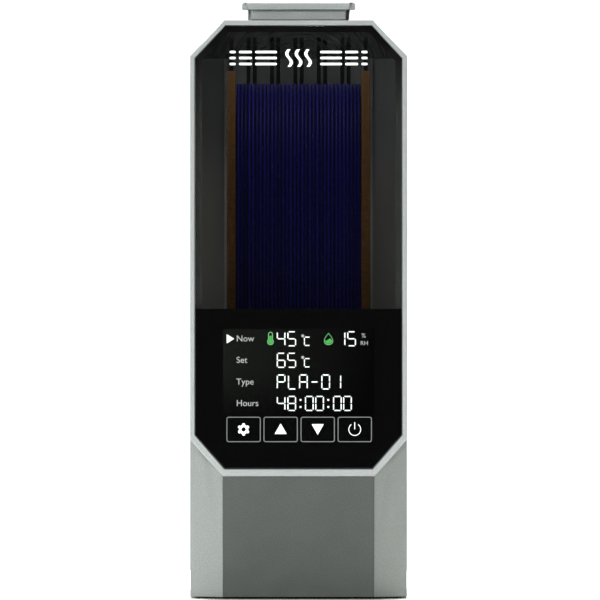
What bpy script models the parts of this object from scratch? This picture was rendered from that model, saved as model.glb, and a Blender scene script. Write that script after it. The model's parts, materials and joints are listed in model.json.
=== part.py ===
"""Filament dryer box for one spool: heated base, fixed front window, smoked lid hinged at the rear.

Metres, +Z up, the front faces -Y. The origin is at the middle of the footprint, on the ground.
"""

import math

import bmesh
import bpy
from mathutils import Vector

MM = 0.001

# Overall sizes
WIDTH = 105 * MM
DEPTH = 258.5 * MM  # from the bezel's face to the back of the hinge knuckles
HEIGHT = 289 * MM  # to the top of the handle
HANDLE_RISE = 8.7 * MM
SPLIT = 140 * MM  # height of the hinge axis, between base and lid

# Shell
WALL = 2.5 * MM
GAP = 0.3 * MM
CORNER = 15.7 * MM  # width of the upright corner facets
TOP_CORNER = 15.9 * MM
TOP_DROP = 17.3 * MM
REAR_TOP_CORNER = 4 * MM
GROUND_GAP = 1 * MM

# Front
BEZEL_BOTTOM = 59.6 * MM
BEZEL_RISE = 18 * MM  # height of the bezel's lower diagonals
BEZEL_DEPTH = 8 * MM
RIM_SIDE = 2.2 * MM
RIM_TOP = 2.3 * MM
RIM_LOW = 2.9 * MM
RIM_BOTTOM = 3.4 * MM
SHELF = 2 * MM
GLASS = 2.5 * MM
GLASS_RECESS = 0.4 * MM
PANEL = 2.45 * MM  # the grey panel under the bezel
LCD_Z = (88.6 * MM, 132.6 * MM)
TOUCH_Z = (73 * MM, 88.3 * MM)
CABLE_TURN = 69 * MM  # where the display's cable passes the wall

# Spool and rollers
SPOOL_R = 100 * MM
SPOOL_WIDTH = 69.7 * MM
FLANGE = 4.2 * MM
WINDING_R = SPOOL_R - 6.3 * MM
HUB_R = 40 * MM
BORE_R = 27.5 * MM
ROLLER_R = 12 * MM
ROLLER_WIDTH = 7 * MM
ROLLER_Y = 50 * MM
AXLE_R = 2 * MM

# Chamber and bay
COVER_Z = 1.2 * MM
COVER = 3 * MM
FLOOR_Z = 37.5 * MM
FLOOR = 2.5 * MM
DUCT_FRONT = 104 * MM  # the duct panel's face, from the middle of the box
DUCT_FLAT = 35 * MM
DUCT_WALL = 2 * MM
BEAD = 1.6 * MM  # width of the stiffening bead along each bend
BEAD_TOP = 262 * MM
SLOT_PITCH = 11.57 * MM
SLOT = 1.9 * MM
THIN_BAR = 1.2 * MM

# Hinge
KNUCKLE_R = 4 * MM
PIN_R = 1.5 * MM
HINGE_X = 22 * MM

# Lid fittings
OUTLET_X = 12 * MM
OUTLET_Y = -80 * MM
OUTLET_BORE = 3 * MM
HANDLE_HALF = 27.4 * MM
HANDLE_REAR = -98 * MM
HANDLE_SCREW = (14 * MM, HANDLE_REAR - 9 * MM)

# Bay
BOARD_Z = 12 * MM
BOARD = 1.6 * MM
DIVIDER_Y = -42 * MM
HEATER_Y = 66 * MM
FAN_X = -18 * MM
FAN_HALF = 20 * MM
FAN_Z = 22 * MM
FAN_TALL = 15 * MM

# Levels and planes that follow
HALF = WIDTH / 2
FRONT = -DEPTH / 2
REAR = DEPTH / 2 - KNUCKLE_R
ROOF = HEIGHT - HANDLE_RISE
BEZEL_BACK = FRONT + BEZEL_DEPTH
WALL_FRONT = BEZEL_BACK + 0.25 * MM
CAVITY_FRONT = WALL_FRONT + WALL
LID_FRONT = BEZEL_BACK + 1.45 * MM
BASE_TOP = SPLIT - 0.8 * MM
LID_BOTTOM = SPLIT + 0.8 * MM
HOOD_BOTTOM = LID_BOTTOM + 5.8 * MM
FLOOR_TOP = FLOOR_Z + FLOOR
CRADLE_Z = FLOOR_TOP + GAP
ROLLER_Z = CRADLE_Z + ROLLER_R + 3.15 * MM
SPOOL_Z = ROLLER_Z + math.sqrt((SPOOL_R + ROLLER_R + GAP) ** 2 - ROLLER_Y**2)
SPOOL_HALF = SPOOL_WIDTH / 2
ROLLER_X = SPOOL_HALF - FLANGE / 2
EAR_X = ROLLER_X + ROLLER_WIDTH / 2 + 0.5 * MM
EAR = 3.2 * MM
BOSS = (HALF - WALL - 3.5 * MM, 95 * MM)
FOOT = (HALF - 19.5 * MM, -FRONT - 29.25 * MM)
DUCT_TOP = ROOF - WALL - 2.3 * MM
DUCT_INSET = max(WALL + 2.2 * MM, KNUCKLE_R + 0.7 * MM)  # from the casing's face to the duct cover
INLET_X = 22 * MM
INLET_Z = 22 * MM

FINISHES = {  # colour, roughness, metallic, alpha
    "silver_paint": ((0.40, 0.42, 0.41), 0.45, 0.3, 1.0),
    "grey_paint": ((0.11, 0.12, 0.115), 0.5, 0.2, 1.0),
    "smoked_plastic": ((0.02, 0.022, 0.022), 0.08, 0.0, 0.45),
    "window_glass": ((0.01, 0.01, 0.01), 0.05, 0.0, 0.6),
    "black_plastic": ((0.012, 0.012, 0.012), 0.5, 0.0, 1.0),
    "duct_plastic": ((0.03, 0.032, 0.03), 0.55, 0.0, 1.0),
    "seal_rubber": ((0.01, 0.01, 0.01), 0.8, 0.0, 1.0),
    "roller_plastic": ((0.03, 0.03, 0.03), 0.6, 0.0, 1.0),
    "steel": ((0.45, 0.45, 0.44), 0.35, 1.0, 1.0),
    "kraft_board": ((0.26, 0.15, 0.075), 0.85, 0.0, 1.0),
    "blue_filament": ((0.01, 0.01, 0.05), 0.3, 0.0, 1.0),
    "display": ((0.015, 0.015, 0.015), 0.2, 0.0, 1.0),
    "circuit_board": ((0.01, 0.09, 0.035), 0.45, 0.0, 1.0),
    "aluminium": ((0.55, 0.55, 0.55), 0.4, 1.0, 1.0),
    "cable_film": ((0.5, 0.2, 0.05), 0.4, 0.0, 1.0),
}

for old in list(bpy.data.objects):
    bpy.data.objects.remove(old)


# ---- outlines ----


def inset(points, distances):
    """Moves each side of a counter-clockwise outline inwards, by one distance or one for each side."""
    count = len(points)
    if not isinstance(distances, (list, tuple)):
        distances = [distances] * count
    normals = []
    for i in range(count):
        dx = points[(i + 1) % count][0] - points[i][0]
        dy = points[(i + 1) % count][1] - points[i][1]
        length = math.hypot(dx, dy)
        normals.append((-dy / length, dx / length))
    moved = []
    for i, (x, y) in enumerate(points):
        (ax, ay), (bx, by) = normals[i - 1], normals[i]
        a, b = distances[i - 1], distances[i]
        scale = ax * by - ay * bx
        moved.append((x + (a * by - b * ay) / scale, y + (b * ax - a * bx) / scale))
    return moved


def u_outline(outer, inner, end):
    """A wall between two outlines that stops at end on their first side, which stays open."""
    wall = outer[1:] + outer[:1]
    back = inner[:1] + inner[:0:-1]
    wall[0], wall[-1] = (wall[0][0], end), (wall[-1][0], end)
    back[0], back[-1] = (back[0][0], end), (back[-1][0], end)
    return wall + back


def shell_plan():
    """The casing seen from above, with facets at the rear corners."""
    low = REAR - CORNER
    return [
        (-HALF, FRONT),
        (HALF, FRONT),
        (HALF, low),
        (HALF - CORNER, REAR),
        (CORNER - HALF, REAR),
        (-HALF, low),
    ]


def cavity_plan(clearance=0.0):
    """The inside of the base seen from above."""
    side, rear = HALF - WALL, REAR - WALL
    cut, rear_cut = 6 * MM, CORNER - WALL * (2 - math.sqrt(2))
    outline = [
        (cut - side, CAVITY_FRONT),
        (side - cut, CAVITY_FRONT),
        (side, CAVITY_FRONT + cut),
        (side, rear - rear_cut),
        (side - rear_cut, rear),
        (rear_cut - side, rear),
        (-side, rear - rear_cut),
        (-side, CAVITY_FRONT + cut),
    ]
    return inset(outline, clearance)


def bezel_outline():
    """The octagon of the front frame."""
    foot, head = HALF - CORNER, HALF - TOP_CORNER
    low, high = BEZEL_BOTTOM + BEZEL_RISE, ROOF - TOP_DROP
    return [
        (-foot, BEZEL_BOTTOM),
        (foot, BEZEL_BOTTOM),
        (HALF, low),
        (HALF, high),
        (head, ROOF),
        (-head, ROOF),
        (-HALF, high),
        (-HALF, low),
    ]


def glass_outline():
    """The octagon that the window fills."""
    rims = [RIM_BOTTOM, RIM_LOW, RIM_SIDE, RIM_TOP, RIM_TOP, RIM_TOP, RIM_SIDE, RIM_LOW]
    return inset(bezel_outline(), rims)


def arch_outline(bottom):
    """The lid seen from the front."""
    high, head = ROOF - TOP_DROP, HALF - TOP_CORNER
    return [(-HALF, bottom), (HALF, bottom), (HALF, high), (head, ROOF), (-head, ROOF), (-HALF, high)]


# ---- shapes ----


def prism(outline, axis, start, end):
    """A flat outline pushed along an axis."""
    place = {
        "X": lambda u, v: (start, u, v),
        "Y": lambda u, v: (u, start, v),
        "Z": lambda u, v: (u, v, start),
    }[axis]
    bm = bmesh.new()
    face = bm.faces.new([bm.verts.new(place(u, v)) for u, v in outline])
    grown = bmesh.ops.extrude_face_region(bm, geom=[face])
    step = Vector([end - start if letter == axis else 0 for letter in "XYZ"])
    verts = [item for item in grown["geom"] if isinstance(item, bmesh.types.BMVert)]
    bmesh.ops.translate(bm, verts=verts, vec=step)
    bmesh.ops.recalc_face_normals(bm, faces=bm.faces)
    return bm


def box(x, y, z):
    """A block between pairs of coordinates."""
    return prism([(x[0], y[0]), (x[1], y[0]), (x[1], y[1]), (x[0], y[1])], "Z", z[0], z[1])


def turned(profile, axis, centre, segments):
    """A profile of (radius, place along the axis) spun round an axis through centre."""
    bm = bmesh.new()
    verts = [bm.verts.new((radius, 0, along)) for radius, along in profile]
    pairs = list(zip(verts, verts[1:]))
    if profile[0][0] > 0:
        pairs.append((verts[-1], verts[0]))
    edges = [bm.edges.new(pair) for pair in pairs]
    bmesh.ops.spin(
        bm,
        geom=verts + edges,
        cent=(0, 0, 0),
        axis=(0, 0, 1),
        angle=2 * math.pi,
        steps=segments,
        use_merge=True,
    )
    bmesh.ops.remove_doubles(bm, verts=bm.verts, dist=1e-7)
    if axis == "X":
        for vert in bm.verts:
            vert.co = (vert.co.z, vert.co.x, vert.co.y)
    if axis == "Y":
        for vert in bm.verts:
            vert.co = (vert.co.y, vert.co.z, vert.co.x)
    bmesh.ops.translate(bm, verts=bm.verts, vec=centre)
    bmesh.ops.recalc_face_normals(bm, faces=bm.faces)
    return bm


def rod(radius, axis, centre, start, end, segments=24):
    """A plain cylinder; centre's coordinate along the axis is left at 0."""
    return turned([(0, start), (radius, start), (radius, end), (0, end)], axis, centre, segments)


def slice_off(bm, point, normal):
    """Cuts away what lies beyond a plane and closes the cut."""
    geom = bm.verts[:] + bm.edges[:] + bm.faces[:]
    cut = bmesh.ops.bisect_plane(bm, geom=geom, plane_co=point, plane_no=normal, clear_outer=True)
    rim = [item for item in cut["geom_cut"] if isinstance(item, bmesh.types.BMEdge)]
    bmesh.ops.edgeloop_fill(bm, edges=rim)
    bmesh.ops.recalc_face_normals(bm, faces=bm.faces)
    return bm


def mesh_of(bm, name):
    mesh = bpy.data.meshes.new(name)
    bm.to_mesh(mesh)
    bm.free()
    return mesh


def piece(name, finish, bm, smooth=False):
    """One sub-part, with its own material."""
    mesh = mesh_of(bm, name)
    colour, roughness, metallic, alpha = FINISHES[finish]
    material = bpy.data.materials.new(f"{name}_{finish}")
    material.use_nodes = True
    shader = material.node_tree.nodes["Principled BSDF"]
    shader.inputs["Base Color"].default_value = (*colour, 1)
    shader.inputs["Roughness"].default_value = roughness
    shader.inputs["Metallic"].default_value = metallic
    shader.inputs["Alpha"].default_value = alpha
    mesh.materials.append(material)
    if smooth:
        mesh.shade_smooth()
        mesh.set_sharp_from_angle(angle=math.radians(35))
    made = bpy.data.objects.new(name, mesh)
    bpy.context.scene.collection.objects.link(made)
    return made


def combine(target, operation, shapes):
    """Adds or takes away shapes, one after the other."""
    for shape in shapes:
        name = f"{target.name}_tool_{len(target.modifiers) + 1}"
        tool = bpy.data.objects.new(name, mesh_of(shape, name))
        bpy.context.scene.collection.objects.link(tool)
        tool.hide_render = True
        tool.display_type = "WIRE"
        modifier = target.modifiers.new(name, "BOOLEAN")
        modifier.operation = operation
        modifier.solver = "EXACT"
        modifier.object = tool


def cut(target, *shapes):
    combine(target, "DIFFERENCE", shapes)


def join(target, *shapes):
    combine(target, "UNION", shapes)


def merged(shapes):
    """Shapes that don't touch, as one tool."""
    whole = bmesh.new()
    for shape in shapes:
        mesh = mesh_of(shape, "part_of_tool")
        whole.from_mesh(mesh)
        bpy.data.meshes.remove(mesh)
    return whole


def carried(axis_name, location, members):
    """Hangs a moving body's pieces from an empty on its joint's axis."""
    axis = bpy.data.objects.new(axis_name, None)
    axis.location = location
    bpy.context.scene.collection.objects.link(axis)
    bpy.context.view_layer.update()
    for member in members:
        member.parent = axis
        member.matrix_parent_inverse = axis.matrix_world.inverted()


def span(a, b):
    return (min(a, b), max(a, b))


# ---- base ----


def corner_wedge(side):
    """The space outside a lower front corner: below the bezel's diagonal, outside the upright facet."""
    slope = BEZEL_RISE / CORNER
    inner, outer = HALF - 2 * CORNER, HALF + CORNER
    line = [(x, BEZEL_BOTTOM + (x - HALF + CORNER) * slope) for x in (outer, inner)]
    outline = [(side * x, z) for x, z in [(inner, -10 * MM), (outer, -10 * MM), *line]]
    wedge = prism(outline, "Y", FRONT - 20 * MM, FRONT + 2 * CORNER)
    return slice_off(wedge, (side * (HALF - CORNER), FRONT, 0), (-side, 1, 0))


def knuckle_spans(side, owner):
    """Start and end of each knuckle along X at one hinge; the lid has the middle one."""
    if owner == "lid":
        places = [(-5 * MM, 5 * MM)]
    else:
        places = [(-11.5 * MM, -5.3 * MM), (5.3 * MM, 11.5 * MM)]
    return [(side * HINGE_X + start, side * HINGE_X + end) for start, end in places]


def knuckles(owner):
    spans = [pair for side in (-1, 1) for pair in knuckle_spans(side, owner)]
    return [rod(KNUCKLE_R, "X", (0, REAR, SPLIT), start, end) for start, end in spans]


def hinge_bores(radius):
    reach = 12.5 * MM
    return [
        rod(radius, "X", (0, REAR, SPLIT), side * HINGE_X - reach, side * HINGE_X + reach, 16)
        for side in (-1, 1)
    ]


def base_housing():
    housing = piece("base_housing", "silver_paint", prism(shell_plan(), "Z", GROUND_GAP, BASE_TOP))
    cut(housing, corner_wedge(-1), corner_wedge(1))
    cut(housing, prism(inset(bezel_outline(), -GAP), "Y", FRONT - 10 * MM, WALL_FRONT))
    cut(housing, prism(cavity_plan(), "Z", -10 * MM, BASE_TOP + 10 * MM))
    panel_half = HALF - CORNER - 0.1 * MM
    pocket, backing = FRONT + PANEL + GAP, FRONT + PANEL + GAP + WALL
    cut(housing, box((-panel_half, panel_half), (FRONT - 5 * MM, pocket), (-5 * MM, BEZEL_BOTTOM)))
    hollow = HALF - CORNER - 3.8 * MM
    below, inside = (-5 * MM, BEZEL_BOTTOM - 2.6 * MM), CAVITY_FRONT + 1 * MM
    inlet_x, inlet_z = (INLET_X - 11 * MM, INLET_X + 11 * MM), (INLET_Z - 8 * MM, INLET_Z + 8 * MM)
    cable_z = (CABLE_TURN - 1.5 * MM, CABLE_TURN + 2 * MM)
    cut(
        housing,
        box((-hollow, hollow), (backing, inside), below),
        box(inlet_x, (REAR - 5 * MM, REAR + 5 * MM), inlet_z),
        box((-9 * MM, 9 * MM), (WALL_FRONT - 1 * MM, inside), cable_z),
    )
    for side in (-1, 1):
        middle = side * HINGE_X
        cut(
            housing,
            box(
                (middle - 5.3 * MM, middle + 5.3 * MM),
                (REAR - 6 * MM, REAR + 5 * MM),
                (SPLIT - KNUCKLE_R - 0.6 * MM, SPLIT + 5 * MM),
            ),
        )
    join(housing, *knuckles("base"))
    cut(housing, *hinge_bores(PIN_R + 0.1 * MM))
    corners = [(x * BOSS[0], y * BOSS[1], 0) for x in (-1, 1) for y in (-1, 1)]
    join(housing, *[rod(4 * MM, "Z", at, COVER_Z + COVER + GAP, 30 * MM, 16) for at in corners])
    cut(housing, merged([rod(1.8 * MM, "Z", at, 0, 20 * MM, 12) for at in corners]))


def lower_front_panel():
    half = HALF - CORNER - 0.4 * MM
    depth = (FRONT, FRONT + PANEL)
    piece("lower_front_panel", "grey_paint", box((-half, half), depth, (GROUND_GAP, BEZEL_BOTTOM - GAP)))


def board_posts():
    """Places of the posts that carry the two boards."""
    control = [(x, y) for x in (-34 * MM, 34 * MM) for y in (-108 * MM, -52 * MM)]
    power = [(x, y) for x in (14 * MM, 40 * MM) for y in (-30 * MM, 84 * MM)]
    return control + power


def bottom_cover():
    top = COVER_Z + COVER
    cover = piece("bottom_cover", "grey_paint", prism(cavity_plan(GAP), "Z", COVER_Z, top))
    tongue = HALF - CORNER - 4.1 * MM
    tongue_y = (FRONT + PANEL + 2 * GAP + WALL, CAVITY_FRONT + 2 * MM)
    join(cover, box((-tongue, tongue), tongue_y, (COVER_Z, top)))
    feet = [(x * FOOT[0], y * FOOT[1], 0) for x in (-1, 1) for y in (-1, 1)]
    screws = [(x * BOSS[0], y * BOSS[1], 0) for x in (-1, 1) for y in (-1, 1)]
    cut(
        cover,
        merged([rod(7.3 * MM, "Z", at, -1 * MM, 2.4 * MM, 20) for at in feet]),
        merged([rod(3.3 * MM, "Z", at, -1 * MM, 2.6 * MM, 12) for at in screws]),
        merged([rod(1.8 * MM, "Z", at, 0, 6 * MM, 12) for at in screws]),
    )
    posts = [rod(2.5 * MM, "Z", (x, y, 0), top - 0.5 * MM, BOARD_Z - GAP, 10) for x, y in board_posts()]
    join(cover, merged(posts))


def feet_and_screws():
    foot = [(0, 0), (6.4 * MM, 0), (7 * MM, 0.6 * MM), (7 * MM, 2.1 * MM), (0, 2.1 * MM)]
    screw = [
        (0, 1.4 * MM),
        (2.9 * MM, 1.4 * MM),
        (2.9 * MM, 2.3 * MM),
        (1.5 * MM, 2.3 * MM),
        (1.5 * MM, 16 * MM),
        (0, 16 * MM),
    ]
    for y_name, y in (("front", -1), ("rear", 1)):
        for x_name, x in (("left", -1), ("right", 1)):
            place = f"{y_name}_{x_name}"
            under = (x * FOOT[0], y * FOOT[1], 0)
            piece(f"foot_{place}", "seal_rubber", turned(foot, "Z", under, 20), True)
            at = (x * BOSS[0], y * BOSS[1], 0)
            piece(f"cover_screw_{place}", "steel", turned(screw, "Z", at, 12), True)


# ---- front ----


def front_bezel():
    bezel = piece("front_bezel", "silver_paint", prism(bezel_outline(), "Y", FRONT, BEZEL_BACK))
    pocket = FRONT + GLASS_RECESS + GLASS + GAP
    cut(bezel, prism(glass_outline(), "Y", FRONT - 5 * MM, pocket))
    cut(bezel, prism(inset(glass_outline(), SHELF), "Y", FRONT - 5 * MM, BEZEL_BACK + 5 * MM))


def front_window():
    start = FRONT + GLASS_RECESS
    piece("front_window", "window_glass", prism(inset(glass_outline(), GAP), "Y", start, start + GLASS))


def display():
    """The segment display and the touch board, both behind the window."""
    face = FRONT + GLASS_RECESS + GLASS + GAP
    half = HALF - 15.1 * MM
    piece("lcd_module", "display", box((-half, half), (face, face + 4.1 * MM), LCD_Z))
    board = piece("touch_board", "circuit_board", box((-half, half), (face, face + BOARD), TOUCH_Z))
    back = face + 1.4 * MM
    join(
        board,
        box((-4 * MM, 4 * MM), (back, back + 1.4 * MM), (77 * MM, 84 * MM)),
        box((14 * MM, 26 * MM), (back, back + 2.6 * MM), (74.5 * MM, 78.5 * MM)),
    )


def display_cable():
    """A flat film that leaves the display, passes the wall and drops into the bay."""
    outer, inner, film = WALL_FRONT - 0.6 * MM, CAVITY_FRONT + GAP, 0.3 * MM
    turn, top, bottom = CABLE_TURN, 110 * MM, 30 * MM
    outline = [
        (outer, turn),
        (inner, turn),
        (inner, bottom),
        (inner + film, bottom),
        (inner + film, turn + film),
        (outer + film, turn + film),
        (outer + film, top),
        (outer, top),
    ]
    piece("display_cable", "cable_film", prism(outline, "X", -8 * MM, 8 * MM))


# ---- electronics bay ----


def control_board():
    level = (BOARD_Z, BOARD_Z + BOARD)
    board = piece("control_board", "circuit_board", box((-38 * MM, 38 * MM), (-112 * MM, -48 * MM), level))
    foot = level[1] - 0.2 * MM
    join(
        board,
        box((-9 * MM, 9 * MM), (-109 * MM, -104 * MM), (foot, 18 * MM)),
        box((-8 * MM, 6 * MM), (-88 * MM, -74 * MM), (foot, 15.6 * MM)),
        box((14 * MM, 30 * MM), (-84 * MM, -72 * MM), (foot, 28 * MM)),
        rod(6 * MM, "Z", (-22 * MM, -78 * MM, 0), foot, 21 * MM, 20),
        box((-30 * MM, -18 * MM), (-56 * MM, -50 * MM), (foot, 21 * MM)),
        box((10 * MM, 26 * MM), (-58 * MM, -50 * MM), (foot, 23 * MM)),
    )


def power_board():
    level = (BOARD_Z, BOARD_Z + BOARD)
    board = piece("power_board", "circuit_board", box((11 * MM, 43 * MM), (-34 * MM, 88 * MM), level))
    foot = level[1] - 0.2 * MM
    join(
        board,
        box((14 * MM, 40 * MM), (14 * MM, 38 * MM), (foot, 34 * MM)),
        rod(8 * MM, "Z", (26 * MM, 56 * MM, 0), foot, 35 * MM, 24),
        box((17 * MM, 35 * MM), (68 * MM, 80 * MM), (foot, 28 * MM)),
        box((38 * MM, 40.5 * MM), (-20 * MM, 8 * MM), (foot, 34 * MM)),
        rod(5 * MM, "Z", (22 * MM, -2 * MM, 0), foot, 30 * MM, 20),
        rod(5 * MM, "Z", (22 * MM, -15 * MM, 0), foot, 30 * MM, 20),
    )


def power_inlet():
    """Two-pin mains inlet in the rear wall."""
    x, z = INLET_X, INLET_Z


    def block(half_x, half_z, start, end):
        return box((x - half_x, x + half_x), (REAR + start, REAR + end), (z - half_z, z + half_z))

    flange = block(13 * MM, 10 * MM, 0.25 * MM, 1.95 * MM)
    inlet = piece("power_inlet", "black_plastic", flange)
    join(inlet, block(10.7 * MM, 7.7 * MM, -19 * MM, 1 * MM))
    cut(inlet, block(8.5 * MM, 4.6 * MM, -13 * MM, 5 * MM))
    pins = [(x - 4.3 * MM, 0, z), (x + 4.3 * MM, 0, z)]
    join(inlet, merged([rod(1.2 * MM, "Y", at, REAR - 14 * MM, REAR - 3 * MM, 12) for at in pins]))


def bay_divider():
    """Keeps the warm air on the left, away from the boards."""
    side, wall = HALF - WALL - 0.6 * MM, 2 * MM
    rear = REAR - WALL - 0.5 * MM
    right = FAN_X + FAN_HALF + 6 * MM
    outline = [
        (-side, DIVIDER_Y),
        (right, DIVIDER_Y),
        (right, rear),
        (right - wall, rear),
        (right - wall, DIVIDER_Y + wall),
        (-side, DIVIDER_Y + wall),
    ]
    piece("bay_divider", "black_plastic", prism(outline, "Z", COVER_Z + COVER + GAP, FLOOR_Z - GAP))


def fan():
    low, high = FAN_X - FAN_HALF, FAN_X + FAN_HALF
    top = FAN_Z + FAN_TALL
    frame = piece("fan_frame", "black_plastic", box((low, high), (-FAN_HALF, FAN_HALF), (FAN_Z, top)))
    cut(frame, rod(FAN_HALF - 1.2 * MM, "Z", (FAN_X, 0, 0), FAN_Z - 5 * MM, top + 5 * MM, 40))
    reach = FAN_HALF - 4 * MM
    corners = [(FAN_X + x * reach, y * reach, 0) for x in (-1, 1) for y in (-1, 1)]
    cut(frame, merged([rod(1.7 * MM, "Z", at, FAN_Z - 5 * MM, top + 5 * MM, 12) for at in corners]))
    hub = (FAN_Z, FAN_Z + 2 * MM)
    arm, bar = FAN_HALF - 0.5 * MM, 1.3 * MM
    join(
        frame,
        rod(8 * MM, "Z", (FAN_X, 0, 0), *hub, 24),
        box((FAN_X - arm, FAN_X + arm), (-bar, bar), hub),
        box((FAN_X - bar, FAN_X + bar), (-arm, arm), hub),
    )
    rotor = piece("fan_rotor", "black_plastic", fan_rotor_shape(FAN_Z + 2.5 * MM, top - 1 * MM))
    carried("fan_axis", (FAN_X, 0, FAN_Z), [rotor])


def fan_rotor_shape(bottom, top):
    """A hub with blades, leaning from bottom to top."""
    blades, hub_r, tip_r = 7, 8 * MM, FAN_HALF - 2.1 * MM
    outline = []
    for blade in range(blades):
        turn = 2 * math.pi * blade / blades
        half = 0.09
        for radius, angle in ((tip_r, -half * 0.8), (tip_r, half * 0.8), (hub_r, half)):
            outline.append((radius * math.cos(turn + angle), radius * math.sin(turn + angle)))
        for step in (1, 2, 3):
            angle = turn + half + (2 * math.pi / blades - 2 * half) * step / 3
            outline.append((hub_r * math.cos(angle), hub_r * math.sin(angle)))
    bm = prism(outline, "Z", bottom, top)
    lean = math.radians(28)
    for vert in bm.verts:
        turn = lean * (vert.co.z - bottom) / (top - bottom)
        x, y = vert.co.x, vert.co.y
        vert.co.x = FAN_X + x * math.cos(turn) - y * math.sin(turn)
        vert.co.y = x * math.sin(turn) + y * math.cos(turn)
    bmesh.ops.triangulate(bm, faces=bm.faces)
    return bm


def heater_block(left, right, half, bottom, top):
    return box((left, right), (HEATER_Y - half, HEATER_Y + half), (bottom, top))


def heater():
    """Frame, finned core and thermal cutout."""
    left, right = WALL + 1.4 * MM - HALF, FAN_X + FAN_HALF + 3 * MM
    bottom, top, bar = COVER_Z + COVER + 0.4 * MM, FLOOR_Z - 0.4 * MM, 3 * MM
    frame = piece("heater_frame", "black_plastic", heater_block(left, right, 10 * MM, bottom, top))
    cut(frame, heater_block(left + bar, right - bar, 15 * MM, bottom + bar, top - bar))
    low, high = left + bar + 0.4 * MM, right - bar - 0.4 * MM
    fins, root, tip = 13, HEATER_Y - 2 * MM, HEATER_Y - 6 * MM
    pitch = (high - low) / (fins - 0.6)
    front, rear = [], []
    for fin in range(fins):
        start = low + fin * pitch
        end = start + 0.4 * pitch
        front += [(start, root), (start, tip), (end, tip), (end, root)]
        rear += [(x, 2 * HEATER_Y - y) for x, y in front[-4:]]
    outline = front[1:-1] + rear[1:-1][::-1]
    piece(
        "heater_core",
        "aluminium",
        prism(outline, "Z", bottom + bar + 0.4 * MM, top - bar - 0.4 * MM),
    )
    at = (left + 12 * MM, 0, (bottom + top) / 2)
    back = HEATER_Y + 10 * MM + GAP
    flange, can, end = 7 * MM, 5.5 * MM, back + 5.7 * MM
    cutout = [(0, back), (flange, back), (flange, back + 0.9 * MM), (can, back + 0.9 * MM)]
    cutout += [(can, end), (0, end)]
    piece("thermal_cutout", "aluminium", turned(cutout, "Y", at, 20), True)


def humidity_sensor():
    """A small board on the front wall, with its sensor under a cap."""
    face = CAVITY_FRONT + GAP
    left, low = 26 * MM, 112 * MM
    base = box((left, left + 12 * MM), (face, face + BOARD), (low, low + 16 * MM))
    sensor = piece("humidity_sensor", "circuit_board", base)
    cap_x, cap_z = (left + 2 * MM, left + 10 * MM), (low + 2 * MM, low + 12 * MM)
    join(sensor, box(cap_x, (face + BOARD - 0.2 * MM, face + BOARD + 3 * MM), cap_z))


# ---- chamber ----


def duct_opening():
    return (FAN_X - 26 * MM, FAN_X + 22 * MM)


def chamber_floor():
    floor = piece("chamber_floor", "duct_plastic", prism(cavity_plan(GAP), "Z", FLOOR_Z, FLOOR_TOP))
    through = (FLOOR_Z - 5 * MM, FLOOR_TOP + 5 * MM)
    slots = [
        box((FAN_X - 16 * MM, FAN_X + 16 * MM), (y * MM - 1.1 * MM, y * MM + 1.1 * MM), through)
        for y in range(-16, 17, 4)
    ]
    cut(
        floor,
        merged(slots),
        box(duct_opening(), (DUCT_FRONT + 3.5 * MM, DUCT_FRONT + 14 * MM), through),
        box((-9 * MM, 9 * MM), (CAVITY_FRONT - 5 * MM, CAVITY_FRONT + 1.5 * MM), through),
    )


def wing_line(x, offset=0.0):
    """Y of the duct's wing at x, moved back by an offset across the sheet."""
    return DUCT_FRONT - (x - DUCT_FLAT) + offset * math.sqrt(2)


def under_roof(shape):
    """Cuts a shape back from the lid's slanted top corners."""
    room = WALL + 1 * MM
    normal = Vector((TOP_DROP, 0, TOP_CORNER)).normalized()
    for side in (-1, 1):
        away = Vector((side * normal.x, 0, normal.z))
        slice_off(shape, Vector((side * (HALF - TOP_CORNER), 0, ROOF)) - away * room, away)
    return shape


def rear_duct_panel():
    """The chamber's back: a slotted flat with wings that lean forward to the side walls."""
    tip = HALF - WALL - 1.8 * MM
    bend = DUCT_FLAT + DUCT_WALL * (math.sqrt(2) - 1)
    right = [(DUCT_FLAT, DUCT_FRONT), (tip, wing_line(tip)), (tip, wing_line(tip, DUCT_WALL))]
    right.append((bend, DUCT_FRONT + DUCT_WALL))
    outline = right + [(-x, y) for x, y in reversed(right)]
    shape = under_roof(prism(outline, "Z", FLOOR_TOP + GAP, DUCT_TOP))
    panel = piece("rear_duct_panel", "duct_plastic", shape)
    for side in (-1, 1):
        across = span(side * DUCT_FLAT, side * (DUCT_FLAT + BEAD))
        deep = (wing_line(DUCT_FLAT + 2 * BEAD), DUCT_FRONT + 1 * MM)
        join(panel, box(across, deep, (FLOOR_TOP + GAP, BEAD_TOP)))
    deep = (DUCT_FRONT - 3 * MM, DUCT_FRONT + DUCT_WALL + 3 * MM)
    low, high = FLOOR_TOP + 20 * MM, DUCT_TOP - 3 * MM
    tie = 4 * MM
    third = (high - low - 2 * tie) / 3
    levels = [(low + row * (third + tie), low + row * (third + tie) + third) for row in range(3)]
    edge = THIN_BAR / 2
    for level in levels:
        slots = []
        for step in range(-3, 4):
            for side in (-1, 1):
                start = step * SLOT_PITCH + side * edge
                end = start + side * SLOT
                if max(abs(start), abs(end)) < DUCT_FLAT - 0.5 * MM:
                    slots.append(box(span(start, end), deep, level))
        cut(panel, merged(slots))


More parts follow.
